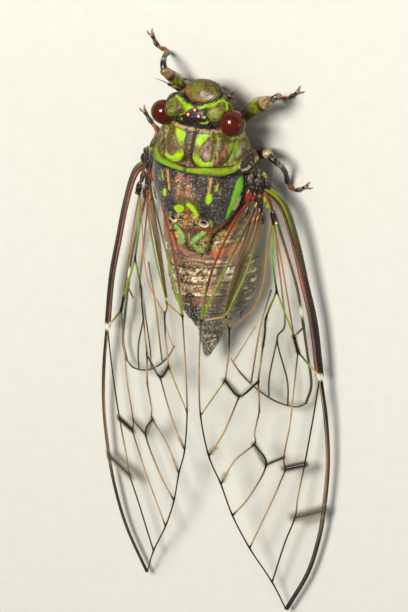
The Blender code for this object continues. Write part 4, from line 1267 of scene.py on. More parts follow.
def pronotum_paint(p):
    """Brown lobes edged in green, a dark middle stripe and a green collar."""
    plan = ragged(p, 0.025)
    pair = both_sides(plan)
    x, y = pair.T
    right = soft_step(plan[:, 0], 0.5)
    speck = noise(p, 0.11, 21)
    blotch = noise(p, 0.35, 22)
    lying = p * (1.0, 0.3, 1.0)
    stria = noise(lying, 0.13, 24)
    vein = np.clip(1 - np.abs(noise(lying, 0.3, 25) - 0.5) / 0.035, 0, 1)
    upper = ramp(p[:, 2], 2.5, 0.5)
    behind = np.interp(plan[:, 0], *np.array(COLLAR_FRONT).T) - y
    middle = soft_step(np.interp(y, *np.array(MIDDLE_EDGE).T) - x, 0.08) * (y > 12.55)
    collar = band(plan[:, 0], *COLLAR_ENDS, 0.15)
    beyond = soft_step(plan[:, 0] - COLLAR_ENDS[1], 0.12)
    beyond = np.maximum(beyond, soft_step(COLLAR_ENDS[0] - 0.2 - plan[:, 0], 0.12)) * (y < 13.5)
    rear = np.interp(plan[:, 0], *np.array(COLLAR_REAR).T, left=0.0)
    inner = patch(pair, INNER_LOBE, 0.2)
    outer = patch(pair, OUTER_LOBE, 0.2)
    outlines = [stroke(pair, lobe + lobe[:1], 0.02, 0.06) for lobe in (INNER_LOBE, OUTER_LOBE)]
    knob = spot(pair, SIDE_KNOB, (0.24, 0.34), soft=0.3)
    knob_rim = spot(pair, np.array(SIDE_KNOB) + (0.05, -0.1), (0.34, 0.46), soft=0.2)
    slope = np.maximum(inner, outer)
    dimple = [spot(plan, (1.42, 13.75), radii, soft=0.8) for radii in ((0.3, 0.4), (0.22, 0.3))]
    return paint(
        len(p), "olive",
        (0.6 * (blotch > 0.5), "umber"),
        (0.6 * (stria > 0.58), "moss"),
        *over(
            inner, (0.9, "umber"), (0.75, "taupe", 0.35 + 0.65 * right), (0.5, "rust", stria > 0.54),
            (0.55, "tan", (speck > 0.58) * (0.4 + 0.6 * right)), (0.5, "sepia", stria < 0.4),
        ),
        (0.8 * dimple[0] * (speck > 0.42), "rose"),
        (0.5 * dimple[1], "silver"),
        *over(outer, (0.8, "umber"), (0.6, "olive", stria > 0.52), (0.65, "tan", stria > 0.6)),
        (0.5 * outer * (stria < 0.4), "sepia"),
        (0.8 * stroke(plan, RUST_STRIPE, 0.13, 0.12) * (stria > 0.38), "rust"),
        (0.5 * stroke(plan, RUST_STRIPE, 0.1, 0.12) * (stria > 0.6), "rose"),
        (0.6 * vein * slope * (blotch > 0.36), "moss"),
        (0.9 * stroke(pair, LOBE_LINE, 0.045), "citron"),
        (0.5 * stroke(plan, LOBE_LINE, 0.04), "lime"),
        (0.7 * stroke(pair, LOBE_GAPS[2], 0.05), "sepia"),
        (0.6 * np.maximum(*outlines), "sepia"),
        (0.85 * patch(plan, GREEN_SLASH, 0.12) * (stria > 0.3), "moss"),
        (0.6 * patch(plan, GREEN_SLASH, 0.3) * (stria > 0.45), "lime"),
        (0.6 * patch(pair, GREEN_SLASH, 0.3) * (stria > 0.5) * (1 - right), "moss"),
        (0.7 * stroke(plan, GREY_STRIPE, 0.1, 0.1), "taupe"),
        (0.4 * stroke(plan, GREY_STRIPE, 0.06, 0.1) * (stria > 0.5), "silver"),
        (0.9 * stroke(plan, SIDE_RIDGE, 0.13), "citron"),
        (0.6 * stroke(plan, SIDE_RIDGE, 0.07) * (speck > 0.36), "cream"),
        (0.9 * stroke(plan, LEFT_MARGIN, 0.14), "taupe"),
        (0.7 * stroke(plan, LEFT_MARGIN, 0.09) * (speck > 0.4), "tan"),
        (middle, "sepia"),
        (0.6 * middle * (speck > 0.52), "umber"),
        (0.6 * middle * bell(plan[:, 0], -0.02, 0.09) * (speck > 0.54), "ochre"),
        (0.4 * middle * bell(plan[:, 0], -0.02, 0.12) * (stria > 0.5), "moss"),
        (0.6 * bell(x, 0, 0.26) * band(y, 12.75, 13.7, 0.2) * (stria > 0.46), "rust"),
        (0.7 * middle * (stria < 0.36), "black"),
        (np.maximum(patch(pair, LIME_TOP), patch(pair, LIME_LOW)), "lime"),
        (0.45 * stroke(pair, LIME_LOW[4:8], 0.05), "citron"),
        (0.8 * stroke(pair, LIME_LINK, 0.14, 0.14), "olive"),
        (0.4 * stroke(pair, LIME_LINK, 0.12, 0.12) * (speck > 0.5), "rust"),
        (band(behind, -0.11, 0.0, 0.05) * upper * collar, "black"),
        (band(behind, 0.0, 0.95, 0.05) * collar, "moss"),
        *over(band(behind, 0.04, 0.95, 0.05) * collar, (0.35, "sap", 1 - right), (0.3, "lime", right)),
        (0.5 * band(behind, 0.4, 0.95, 0.08) * collar, "olive"),
        (0.5 * band(behind, 0.0, 0.1, 0.06) * collar * (blotch > 0.45), "rust"),
        (0.3 * band(behind, 0.0, 0.95, 0.06) * collar * (blotch < 0.42), "olive"),
        (0.9 * spot(plan, COLLAR_NOTCH, (0.1, 0.24), soft=0.6), "soot"),
        (soft_step(rear - y, 0.05), "soot"),
        (spot(plan, (3.23, 13.04), (0.2, 0.12), soft=0.5), "citron"),
        (beyond, "sepia"),
        (0.6 * beyond * (blotch > 0.5), "umber"),
        (0.8 * knob_rim * (speck > 0.42) * (blotch > 0.4), "cream"),
        *over(knob, (1, "soot"), (0.6, "olive", speck > 0.62), (0.8, "black", speck < 0.4)),
        (band(x, 3.2, 3.4, 0.06) * (y > 13.55) * (1 - right), "black"),
        (0.85 * band(y, 15.14, 15.32, 0.05) * (stria > 0.4), "tan"),
        (0.5 * band(y, 15.1, 15.34, 0.05) * (stria < 0.42), "sepia"),
        (band(y, 15.34, 16.2, 0.05), "black"),
        (np.clip((2.6 - p[:, 2]) / 0.8, 0, 0.85), "tan"),
        (0.4 * (speck < 0.3) * (behind < 0), "sepia"),
    )


def make_pronotum():
    """The shield behind the head."""
    rings = raised(section_rings(PRONOTUM_ROWS, 280, 12), pronotum_relief)
    make_shell("pronotum_shield", rings, SHIELD_FINISH, "pronotum", pronotum_paint)
    return rings


# Mesonotum

MESONOTUM_ROWS = [
    (12.75, 3.3, 3.7, 3.9, 5.1, 0, 2.1),
    (12.1, 3.42, 3.65, 3.85, 5.5, 0, 2.1),
    (11.0, 3.52, 3.55, 3.85, 5.62, 0, 2.2),
    (10.0, 3.32, 3.5, 3.9, 5.62, 0, 2.2),
    (8.95, 2.94, 3.5, 4.0, 5.54, 0, 2.2),
    (8.0, 2.3, 3.6, 4.15, 5.42, 0, 2.1),
    (7.3, 1.6, 3.8, 4.3, 5.3, 0, 2.1),
    (6.7, 1.2, 3.9, 4.45, 5.28, 0, 2.1),
    (5.95, 1.05, 3.9, 4.5, 5.18, 0, 2.1),
    (5.55, 0.75, 3.95, 4.4, 4.95, 0, 2.1),
    (5.4, 0.35, 4.0, 4.3, 4.7, 0, 2.1),
]
CROSS_ARMS = [
    [(1.02, 7.4), (0.7, 7.08), (0.4, 6.75), (0.27, 6.5)],
    [(0.78, 5.86), (0.5, 6.12), (0.34, 6.32), (0.27, 6.5)],
    [(-1.08, 7.46), (-0.88, 7.2), (-0.66, 6.88), (-0.56, 6.55)],
    [(-1.02, 5.98), (-0.84, 6.18), (-0.66, 6.36), (-0.56, 6.55)],
]
GREEN_SIDE = [
    (3.36, 11.85), (3.12, 10.75), (2.95, 10.05), (2.75, 9.4), (2.54, 8.62), (2.7, 8.8),
    (2.98, 9.45), (3.26, 10.05), (3.46, 10.7), (3.6, 11.4), (3.6, 11.85),
]
CREAM_SIDE = [(3.36, 10.3), (3.24, 9.85), (3.06, 9.4)]
GOLD_FIELD = [
    (-1.1, 8.3), (-0.85, 8.75), (-0.3, 8.85), (0.3, 8.9), (0.85, 8.8), (0.95, 8.1),
    (0.8, 7.8), (0.2, 7.5), (-0.6, 7.6), (-1.15, 7.8),
]
OCHRE_LINE = [(1.7, 12.0), (1.62, 11.2), (1.5, 10.5)]
OCHRE_DASH = [(2.2, 11.6), (2.08, 11.05)]
TWIN_LEFT = [(-1.16, 9.0), (-1.02, 9.34), (-0.7, 9.52), (-0.32, 9.46), (-0.36, 9.1), (-0.75, 8.84)]
TWIN_RIGHT = [(0.1, 9.66), (0.42, 9.46), (0.68, 8.98)]
ORANGE_RIDGE = [(-0.08, 9.3), (-0.02, 8.6), (-0.06, 8.1)]
PITS = [
    (np.array([-1.42, 8.06]), np.array([0.3, 0.17]), 25),
    (np.array([1.1, 8.26]), np.array([0.22, 0.2]), -15),
]
PIT_RIM_SHIFT = (0.04, -0.05)
REAR_RIM = [(1.16, 7.5), (1.6, 7.6), (2.1, 7.86), (2.5, 8.24)]
RED_LINES = [[(0.4, 7.4), (0.9, 7.74), (1.5, 7.82)], [(-1.24, 7.55), (-0.7, 7.48), (-0.34, 7.28)]]


def mesonotum_relief(p):
    """The raised cross at the back with its hollows, two pits, and shallow furrows on the shield."""
    plan = both_sides(p[:, :2])
    upper = ramp(p[:, 2], 4.2, 0.3)
    arms = sum(bell(line_distance(p[:, :2], curve(arm, 6)), 0, 0.2) for arm in CROSS_ARMS)
    hollow = spot(plan, (0.0, 7.35), (0.45, 0.4), soft=1.0) + spot(plan, (0.0, 6.1), (0.3, 0.3), soft=1.0)
    pits = sum(spot(p[:, :2], centre, radii, 0.8, turn) for centre, radii, turn in PITS)
    rims = sum(spot(p[:, :2], centre, radii * 1.6, 0.6, turn) for centre, radii, turn in PITS)
    furrow = stroke(plan, [(1.25, 12.1), (1.1, 11.0), (0.95, 10.0)], 0.02, 0.2)
    ridge = bell(p[:, 0], 0, 0.3) * band(p[:, 1], 7.8, 9.6, 0.6)
    dip = spot(plan, (1.3, 9.0), (0.35, 0.5), soft=1.0)
    boss = spot(plan, (0.5, 9.1), (0.75, 0.7), soft=1.0)
    wrinkle = noise(p, 0.4, 31) - 0.5
    lift = 0.2 * np.clip(arms, 0, 1) - 0.12 * hollow - 0.22 * pits + 0.06 * rims
    lift += 0.05 * ridge - 0.05 * furrow - 0.06 * dip + 0.1 * boss
    return upper * lift + 0.04 * wrinkle


def mesonotum_paint(p):
    """Near black, with green marks, rosy columns, a gold field, two rimmed pits and a green cross."""
    plan = ragged(p, 0.05)
    pair = both_sides(plan)
    x, y = pair.T
    right = soft_step(plan[:, 0], 0.4)
    streak = noise(p * (1.0, 0.45, 1.0), 0.1, 41)
    speck = noise(p, 0.085, 44)
    blotch = noise(p, 0.35, 42)
    shadow = spot(pair, (0.0, 9.0), (1.6, 1.15), soft=0.5) * (y > 8.2)
    columns = bell(plan[:, 0], -0.72, 0.26) + bell(plan[:, 0], 0.08, 0.24)
    columns = np.clip(columns, 0, 1) * band(y, 9.7, 11.8, 0.5)
    centre = bell(plan[:, 0], -0.15, 0.85) * band(y, 9.8, 12.0, 0.5)
    rear = ramp(y, 8.75, -0.3) * ramp(x, 1.5, -0.3)
    gold = patch(plan, GOLD_FIELD, 0.2)
    pits = [spot(plan, centre, radii, 0.25, turn) for centre, radii, turn in PITS]
    rims = [spot(plan, centre + PIT_RIM_SHIFT, radii * 1.5, 0.2, turn) for centre, radii, turn in PITS]
    arms = np.maximum.reduce([stroke(plan, arm, 0.21) for arm in CROSS_ARMS])
    beside = spot(pair, (1.05, 6.7), (0.4, 0.65), soft=0.4) * (1 - arms)
    return paint(
        len(p), "charcoal",
        (0.6 * (blotch > 0.5), "slate"),
        # Painted reflection: the slate band along the left margin stands for sky reflected on that side
        (0.95 * band(x, 2.2, 3.6, 0.3) * (1 - right), "slate"),
        (0.4 * (streak > 0.55), "umber"),
        (0.45 * centre * np.clip(blotch * 2.6 - 0.8, 0, 1), "taupe"),
        (0.8 * centre * (streak > 0.62), "rose"),
        (0.7 * centre * (speck > 0.7), "silver"),
        *over(
            columns, (0.85, "taupe", streak > 0.4), (0.85, "rose", streak > 0.48),
            (0.85, "tan", speck > 0.52), (0.8, "cream", speck > 0.64),
        ),
        (0.75 * (streak > 0.7) * band(y, 8.0, 12.3) * band(x, -1, 2.4, 0.2), "tan"),
        (0.5 * (streak < 0.34), "black"),
        (0.75 * shadow, "soot"),
        (0.8 * shadow * band(x, -1, 0.9, 0.2), "olive"),
        (rear * 0.85, "umber"),
        (rear * 0.6 * (blotch > 0.5), "charcoal"),
        *over(
            gold, (0.8, "umber"), (0.5, "rose", blotch > 0.5), (0.8, "tan", speck > 0.5),
            (0.85, "gold", speck > 0.6), (0.75, "sepia", speck < 0.42),
        ),
        (0.7 * rear * (streak < 0.36), "black"),
        (patch(plan, GREEN_SIDE), "sap"),
        (0.5 * stroke(plan, [(3.4, 11.7), (3.25, 10.8), (3.0, 10.0)], 0.1), "lime"),
        # The green side stripe on the left, real green, painted dimmer jade than the right as shade
        (0.7 * stroke(pair, [(3.34, 11.6), (3.22, 10.6)], 0.06) * (1 - right), "jade"),
        (0.85 * stroke(pair, CREAM_SIDE, 0.07), "cream"),
        (stroke(pair, OCHRE_LINE, 0.085), "ochre"),
        (0.35 * stroke(pair, OCHRE_LINE, 0.06), "gold"),
        (stroke(pair, OCHRE_DASH, 0.06), "ochre"),
        (0.8 * stroke(pair, OCHRE_DASH, 0.05) * (y < 11.5), "lime"),
        (0.7 * stroke(pair, [(2.45, 11.3), (2.32, 10.9)], 0.04), "citron"),
        (spot(plan, (-1.95, 10.1), (0.17, 0.36), soft=0.25, turn=-12), "lime"),
        (spot(plan, (1.58, 10.36), (0.22, 0.44), soft=0.25, turn=-12), "lime"),
        (patch(plan, TWIN_LEFT), "lime"),
        (stroke(plan, TWIN_RIGHT, 0.17), "lime"),
        (0.85 * stroke(plan, ORANGE_RIDGE, 0.1, 0.12), "rust"),
        (0.5 * stroke(plan, ORANGE_RIDGE, 0.04), "amber"),
        (stroke(pair, [(1.6, 8.5), (1.62, 8.05)], 0.1), "citron"),
        (np.maximum(*rims), "cream"),
        (np.maximum(*pits), "black"),
        (0.9 * np.maximum(*(stroke(plan, line, 0.06) for line in RED_LINES)), "brick"),
        (0.9 * stroke(pair, REAR_RIM, 0.17), "orange"),
        (0.6 * stroke(pair, REAR_RIM, 0.15) * (streak > 0.54), "brick"),
        (spot(plan, (-0.05, 6.7), (0.4, 0.75), soft=0.4), "umber"),
        (0.7 * stroke(plan, [(-0.12, 7.1), (-0.05, 6.6), (-0.12, 6.1)], 0.05), "tan"),
        *over(arms, (1, "jade"), (0.35, "moss", blotch > 0.5), (0.35, "bone", speck > 0.6)),
        (0.35 * arms * (speck < 0.36), "olive"),
        (0.9 * beside, "olive"),
        (0.7 * beside * (speck > 0.5), "gold"),
        (band(y, 11.98, 13.0, 0.1), "black"),
        (np.clip((4.1 - p[:, 2]) / 0.2, 0, 0.9) * (1 - 0.8 * right), "soot"),
        (np.clip((3.9 - p[:, 2]) / 0.2, 0, 0.9), "soot"),
    )


def make_mesonotum():
    """The broad shield of the back."""
    rings = raised(section_rings(MESONOTUM_ROWS, 220, 14), mesonotum_relief)
    make_shell("mesonotum_shield", rings, BACK_FINISH, "mesonotum", mesonotum_paint)
    return rings


# Trunk

TRUNK_ROWS = [
    (13.2, 3.2, 1.3, 2.5, 3.6, 0, 2.3),
    (12.1, 3.65, 1.1, 2.4, 3.7, 0, 2.3),
    (10.8, 3.75, 1.0, 2.3, 3.7, 0, 2.3),
    (9.15, 3.65, 1.0, 2.2, 3.6, 0, 2.2),
    (7.7, 3.58, 1.0, 2.2, 3.75, 0, 2.1),
    (6.5, 3.52, 1.0, 2.2, 4.0, 0, 2.0),
    (5.45, 3.47, 1.05, 2.2, 4.08, 0, 2.0),
    (4.8, 3.35, 1.1, 2.2, 3.95, 0, 2.0),
    (4.3, 3.0, 1.2, 2.2, 3.7, 0, 2.0),
]


REAR_PLATE = [(0.7, 7.2), (1.5, 7.3), (2.3, 6.8), (2.5, 6.0), (1.6, 5.4), (0.7, 5.5)]
SEAMS = (12.9, 11.3, 9.4, 7.6)
SEAM_SLANT = 0.35


def trunk_relief(p):
    """Side plates parted by slanting seams, and a soft crumple."""
    slant = p[:, 1] + SEAM_SLANT * p[:, 2]
    seams = sum(bell(slant, seam, 0.12) for seam in SEAMS)
    crumple = noise(p, 0.8, 51) - 0.5
    return 0.22 * crumple - 0.14 * seams


def trunk_paint(p):
    """Dark sides, and above them the rosy joint and the olive plates beside the cross."""
    blotch = noise(p, 0.6, 52)
    fine = noise(p, 0.13, 53)
    plan = ragged(p, 0.07)
    pair = both_sides(plan)
    top = ramp(p[:, 2], 2.6, 0.5)
    below = ramp(p[:, 2], 1.9, -0.6)
    plate = patch(pair, REAR_PLATE, 0.15) * top
    shoulder = top * band(pair[:, 0], 1.9, 3.6, 0.3) * band(p[:, 1], 5.6, 10.5, 0.5)
    joint = top * band(p[:, 1], 4.0, 5.7, 0.3)
    scales = top * band(p[:, 1], 4.0, 5.9, 0.3)
    return paint(
        len(p), "soot",
        (0.7 * (blotch > 0.5), "umber"),
        (0.5 * (fine > 0.62), "taupe"),
        (0.8 * shoulder * (blotch > 0.4), "olive"),
        (0.6 * top * band(p[:, 1], 4.8, 10.5, 0.5) * (fine > 0.56), "ochre"),
        *over(joint, (0.85, "umber"), (0.85, "rose", blotch > 0.36)),
        *over(scales, (0.8, "tan", fine > 0.5), (0.7, "soot", fine < 0.38)),
        *over(plate, (1, "ochre"), (0.75, "olive"), (0.7, "gold", fine > 0.5), (0.6, "sepia", fine < 0.42)),
        (0.9 * stroke(pair, [(1.2, 7.45), (1.8, 7.5), (2.6, 7.4)], 0.2) * top, "orange"),
        (0.6 * stroke(pair, [(1.2, 7.6), (1.8, 7.66), (2.6, 7.56)], 0.07) * top, "blood"),
        (0.9 * stroke(pair, [(1.3, 5.1), (2.1, 5.5), (3.0, 5.85)], 0.3, 0.15) * top, "coral"),
        (0.6 * stroke(pair, [(1.6, 5.1), (2.3, 5.3), (3.0, 5.6)], 0.12) * top * (fine > 0.45), "rose"),
        (0.6 * stroke(pair, [(1.6, 5.5), (2.3, 6.0), (3.0, 6.2)], 0.08) * top, "soot"),
        (0.8 * below, "tan"),
        (0.6 * below * (fine > 0.55), "umber"),
    )


def make_trunk():
    """The sides and underside of the thorax."""
    rings = raised(section_rings(TRUNK_ROWS, 144, 12), trunk_relief)
    make_shell("trunk_shell", rings, TRUNK_FINISH, "thorax", trunk_paint)
    return rings


# Wing roots

HINGE_RISE = 0.12
# Darker tones for the left wing roots, a shaded copy of the right ones: painted shade
LEFT_HINGE_SHADED_TONES = {"moss": "umber", "slate": "soot", "gold": "taupe", "tan": "umber", "taupe": "plum"}
# Each small hard plate: its two ends in plan, a half width and a tone
HINGE_PLATES = [
    ((3.5, 11.9), (3.3, 9.4), 0.3, "soot"),
    ((3.8, 11.9), (3.9, 9.8), 0.34, "soot"),
    ((4.3, 11.9), (4.4, 10.2), 0.36, "black"),
    ((4.7, 11.5), (4.9, 10.6), 0.3, "soot"),
    ((4.2, 10.4), (4.5, 8.9), 0.26, "soot"),
    ((5.25, 9.0), (5.45, 7.9), 0.24, "black"),
    ((3.8, 10.75), (3.66, 9.7), 0.27, "brick"),
    ((4.1, 10.6), (4.0, 9.8), 0.2, "brick"),
    ((3.72, 11.75), (3.86, 11.15), 0.2, "taupe"),
    ((3.6, 11.5), (3.66, 11.1), 0.06, "tan"),
    ((4.1, 11.45), (4.5, 11.25), 0.17, "slate"),
    ((4.1, 11.0), (4.3, 10.7), 0.13, "taupe"),
    ((4.02, 12.2), (3.66, 11.96), 0.07, "tan"),
    ((4.33, 12.25), (4.42, 11.85), 0.14, "olive"),
    ((3.1, 11.8), (3.45, 11.7), 0.12, "rust"),
    ((4.46, 10.35), (4.2, 9.3), 0.06, "tan"),
    ((4.56, 10.5), (4.36, 9.5), 0.05, "rust"),
    ((4.76, 10.1), (5.1, 9.1), 0.19, "moss"),
    ((4.5, 9.3), (4.4, 8.8), 0.12, "taupe"),
    ((4.15, 8.55), (4.05, 8.1), 0.1, "amber"),
    ((4.42, 8.6), (4.3, 8.2), 0.06, "tan"),
    ((4.62, 12.0), (4.85, 11.5), 0.13, "moss"),
    ((5.54, 8.2), (5.62, 7.95), 0.09, "gold"),
    ((3.72, 9.3), (3.4, 8.45), 0.06, "taupe"),
    ((4.7, 8.9), (4.7, 8.0), 0.1, "sepia"),
    ((3.4, 12.0), (3.3, 11.0), 0.1, "sepia"),
]


def make_hinges():
    """Lumpy plates lying on the roof surface: short tubes, thickest at the middle, whose rings
    swell and shrink with noise; the dark broad ones lie under the narrow coloured ones."""
    forms, tints, darker = [], [], []
    for number, (start, end, half, name) in enumerate(HINGE_PLATES):
        plan = np.linspace(start, end, 14)
        share = np.linspace(-1, 1, 14)
        rise = roof_height(*plan.T) + 0.06 * (1 - share**2)
        rise += 0 if name in ("soot", "black") else HINGE_RISE
        rings = sweep(np.column_stack([plan, rise]), half * np.sqrt(1.15 - share**2), 16, flatten=0.6)
        rings = raised(rings, lambda p, n=number: 0.12 * (noise(p, 0.3, 60 + n) - 0.5))
        form = loft(rings)
        speck = noise(form[0], 0.14, 80 + number)
        forms.append(form)
        layers = [(0.6 * (speck > 0.6), "sepia"), (0.3 * (speck < 0.3), "tan")]
        tints.append(paint(len(form[0]), name, *layers))
        # The left plates take the same pattern in darker tones, as painted shade
        darker.append(paint(len(form[0]), LEFT_HINGE_SHADED_TONES.get(name, name), *layers))
    form = joined(forms)
    make_piece("wing_hinge_right", form, BACK_FINISH, (), np.vstack(tints))
    make_piece("wing_hinge_left", mirrored(form), BACK_FINISH, (), np.vstack(darker))


# Abdomen

ABDOMEN_ROWS = [
    (4.55, 3.4, 1.05, 2.1, 3.9, 0.1),
    (3.9, 3.6, 0.95, 2.0, 3.95, 0.25),
    (2.55, 3.6, 0.9, 1.95, 3.85, 0.4),
    (1.4, 3.4, 1.0, 1.95, 3.75, 0.45),
    (0.5, 3.0, 1.15, 2.0, 3.6, 0.45),
    (-0.15, 2.55, 1.3, 2.1, 3.45, 0.42),
    (-0.8, 2.0, 1.5, 2.2, 3.3, 0.38),
    (-1.7, 1.3, 1.8, 2.3, 3.05, 0.32),
]
TERGITE_STEP = 0.1
RING_TWIST = 0.24
RING_CENTRE = 0.4
RING_SQUARENESS = 2.05
STEPS_A_RING = 16


def abdomen_rings(sides=200):
    """Telescoped sleeves: inside each ring the radius swells from a step inwards to its lip,
    and the rings lean so that their right side sits further forwards."""
    table = np.array([(5.3, 2.9, 1.3, 2.15, 3.6, 0.05), *ABDOMEN_ROWS])
    rows = []
    for front, back in zip(table, table[1:]):
        share = np.linspace(0, 1, STEPS_A_RING, endpoint=False)[:, None]
        step = TERGITE_STEP * (1 - np.clip(share * 2.5, 0, 1)) - 0.035 * bell(share, 0.93, 0.08)
        row = front * (1 - share) + back * share
        row[:, 1:2] -= step
        row[:, 2:3] += step
        row[:, 4:5] -= step
        rows.append(row)
    table = np.vstack(rows)
    rings = table_rings(np.column_stack([table, np.full(len(table), RING_SQUARENESS)]), sides)
    across, along = rings[..., 0], rings[..., 1]
    rings[..., 1] += RING_TWIST * (across - RING_CENTRE) * ramp(along, 5.2, -1.5) * ramp(along, -2.2, 1.5)
    return rings


def ring_place(p):
    """How far along the abdomen a point lies, with the rings' lean taken out, and its place in its ring."""
    y = p[:, 1] - RING_TWIST * (p[:, 0] - RING_CENTRE)
    edges = np.array([row[0] for row in ABDOMEN_ROWS])[::-1]
    ring = np.clip(np.searchsorted(edges, y), 1, len(edges) - 1)
    share = (edges[ring] - y) / (edges[ring] - edges[ring - 1])
    return y, np.clip(share, 0, 1)


def abdomen_relief(p):
    """Fine and broad crumples."""
    return 0.05 * (noise(p, 0.3, 71) - 0.5) + 0.06 * (noise(p, 1.1, 72) - 0.5)


def abdomen_paint(p):
    """Rings of crowded pale scales on the left and middle, olive brown on the right, each with a
    black edge; the flank dark with pale spots."""
    y, share = ring_place(p)
    x = p[:, 0]
    lying = p * (0.35, 1.0, 0.35)
    speck = noise(p, 0.09, 73)
    streak = noise(lying, 0.1, 75)
    patchy = noise(lying, 0.22, 74)
    below = ramp(p[:, 2], 1.9, -0.6)
    top = ramp(p[:, 2], 2.0, 0.5)
    left = np.clip((1.9 + 1.5 * (patchy - 0.5) - x) / 1.1, 0, 1)
    flank = ramp(x, 2.75, 0.4)
    edge = ramp(np.abs(x - RING_CENTRE), 2.75, 0.25) * top
    first = band(y, 3.98, 6.0, 0.1)
    pale = band(y, 2.5, 3.95, 0.1)
    rosy = band(y, 1.4, 2.42, 0.15)
    dusky = band(y, 0.4, 1.32, 0.15)
    behind = band(y, -3.0, 0.34, 0.15)
    lip = ramp(share, 0.72, 0.08) * (patchy > 0.44)
    groove = ramp(share, 0.09, -0.05) * (y < 4.2)
    return paint(
        len(p), "umber",
        (0.5 * (streak > 0.5), "olive"),
        (0.6 * (patchy < 0.44), "sepia"),
        (0.85 * left * (first + rosy + dusky), "taupe"),
        (0.5 * left * first * (patchy > 0.5), "rose"),
        (0.6 * (1 - left) * first * (patchy > 0.4), "coral"),
        *over(left * first, (0.8, "tan", streak > 0.6), (0.8, "cream", speck > 0.7)),
        *over(
            left * pale, (0.7, "tan"), (0.6, "rose", patchy > 0.56), (0.7, "umber", patchy < 0.42),
            (0.85, "cream", streak > 0.54), (0.85, "bone", speck > 0.64), (0.85, "umber", speck < 0.45),
        ),
        (0.8 * pale * band(x, 2.0, 3.0, 0.3) * (speck > 0.46), "bone"),
        *over(
            rosy * left, (0.7, "rose", patchy > 0.45), (0.6, "plum", patchy < 0.42),
            (0.9, "cream", speck > 0.57), (0.8, "bone", lip * (speck > 0.46)),
        ),
        *over(
            dusky * left, (0.8, "plum", patchy > 0.48), (0.75, "rose", speck > 0.62),
            (0.8, "cream", lip * (speck > 0.5)),
        ),
        *over(behind * left, (0.8, "charcoal"), (0.75, "silver", speck > 0.64)),
        *over(
            1 - left, (0.3, "tan", streak > 0.6), (0.45, "cream", speck > 0.74),
            (0.4, "taupe", lip * (streak > 0.4)), (0.75, "black", ramp(share, 0.2, -0.1)),
        ),
        *over(flank, (0.75, "olive"), (0.85, "soot", patchy > 0.42)),
        (0.9 * edge * (patchy > 0.6), "cream"),
        (0.7 * (speck < 0.34), "soot"),
        (0.8 * band(y, 3.12, 3.26, 0.08) * top * (streak > 0.36), "umber"),
        (groove * top, "black"),
        (0.85 * below, "tan"),
        (0.5 * below * (patchy > 0.5), "umber"),
    )


TAIL_ROWS = [
    (-1.4, 1.05, 2.0, 2.35, 2.95, 0.33, 2.0),
    (-2.0, 1.02, 2.0, 2.35, 2.97, 0.3, 2.0),
    (-2.5, 0.88, 2.05, 2.38, 2.9, 0.25, 2.0),
    (-2.9, 0.76, 2.1, 2.4, 2.86, 0.2, 2.0),
    (-3.3, 0.58, 2.15, 2.43, 2.8, 0.15, 2.0),
    (-3.7, 0.42, 2.22, 2.46, 2.73, 0.08, 2.0),
    (-4.05, 0.27, 2.3, 2.5, 2.67, 0.02, 2.0),
    (-4.2, 0.1, 2.4, 2.5, 2.58, 0.0, 2.0),
]


def tail_relief(p):
    """A ridge down the middle, a lip half way, and side folds."""
    lip = 0.05 * bell(p[:, 1], -2.55, 0.12)
    fold = 0.05 * np.cos((p[:, 0] - 0.2) * 9) * np.clip(p[:, 2] - 2.4, 0, 1)
    return lip + fold + 0.04 * (noise(p, 0.25, 76) - 0.5)


def tail_paint(p):
    """Dark, with pale scales and a rusty tip."""
    speck = noise(p, 0.12, 77)
    blotch = noise(p, 0.4, 78)
    return paint(
        len(p), "soot",
        (0.8 * (speck > 0.6) * (blotch > 0.5), "cream"),
        (0.7 * (speck > 0.66), "silver"),
        (0.6 * (blotch > 0.56) * (speck > 0.45), "taupe"),
        (0.5 * (speck < 0.36), "black"),
        (0.6 * band(p[:, 1], -4.3, -3.75, 0.2), "rust"),
        (np.clip((2.2 - p[:, 2]) / 0.3, 0, 0.7), "umber"),
    )


def make_abdomen():
    """The rings of the abdomen and the sheath behind them."""
    rings = raised(abdomen_rings(), abdomen_relief)
    make_shell("abdomen_rings", rings, BELLY_FINISH, "abdomen", abdomen_paint)
    tail = raised(section_rings(TAIL_ROWS, 96, 10), tail_relief)
    make_shell("tail_sheath", tail, BELLY_FINISH, "ovipositor_sheath", tail_paint)
    return rings, tail


# Legs: stations from the hip to the claws, as in the part's source

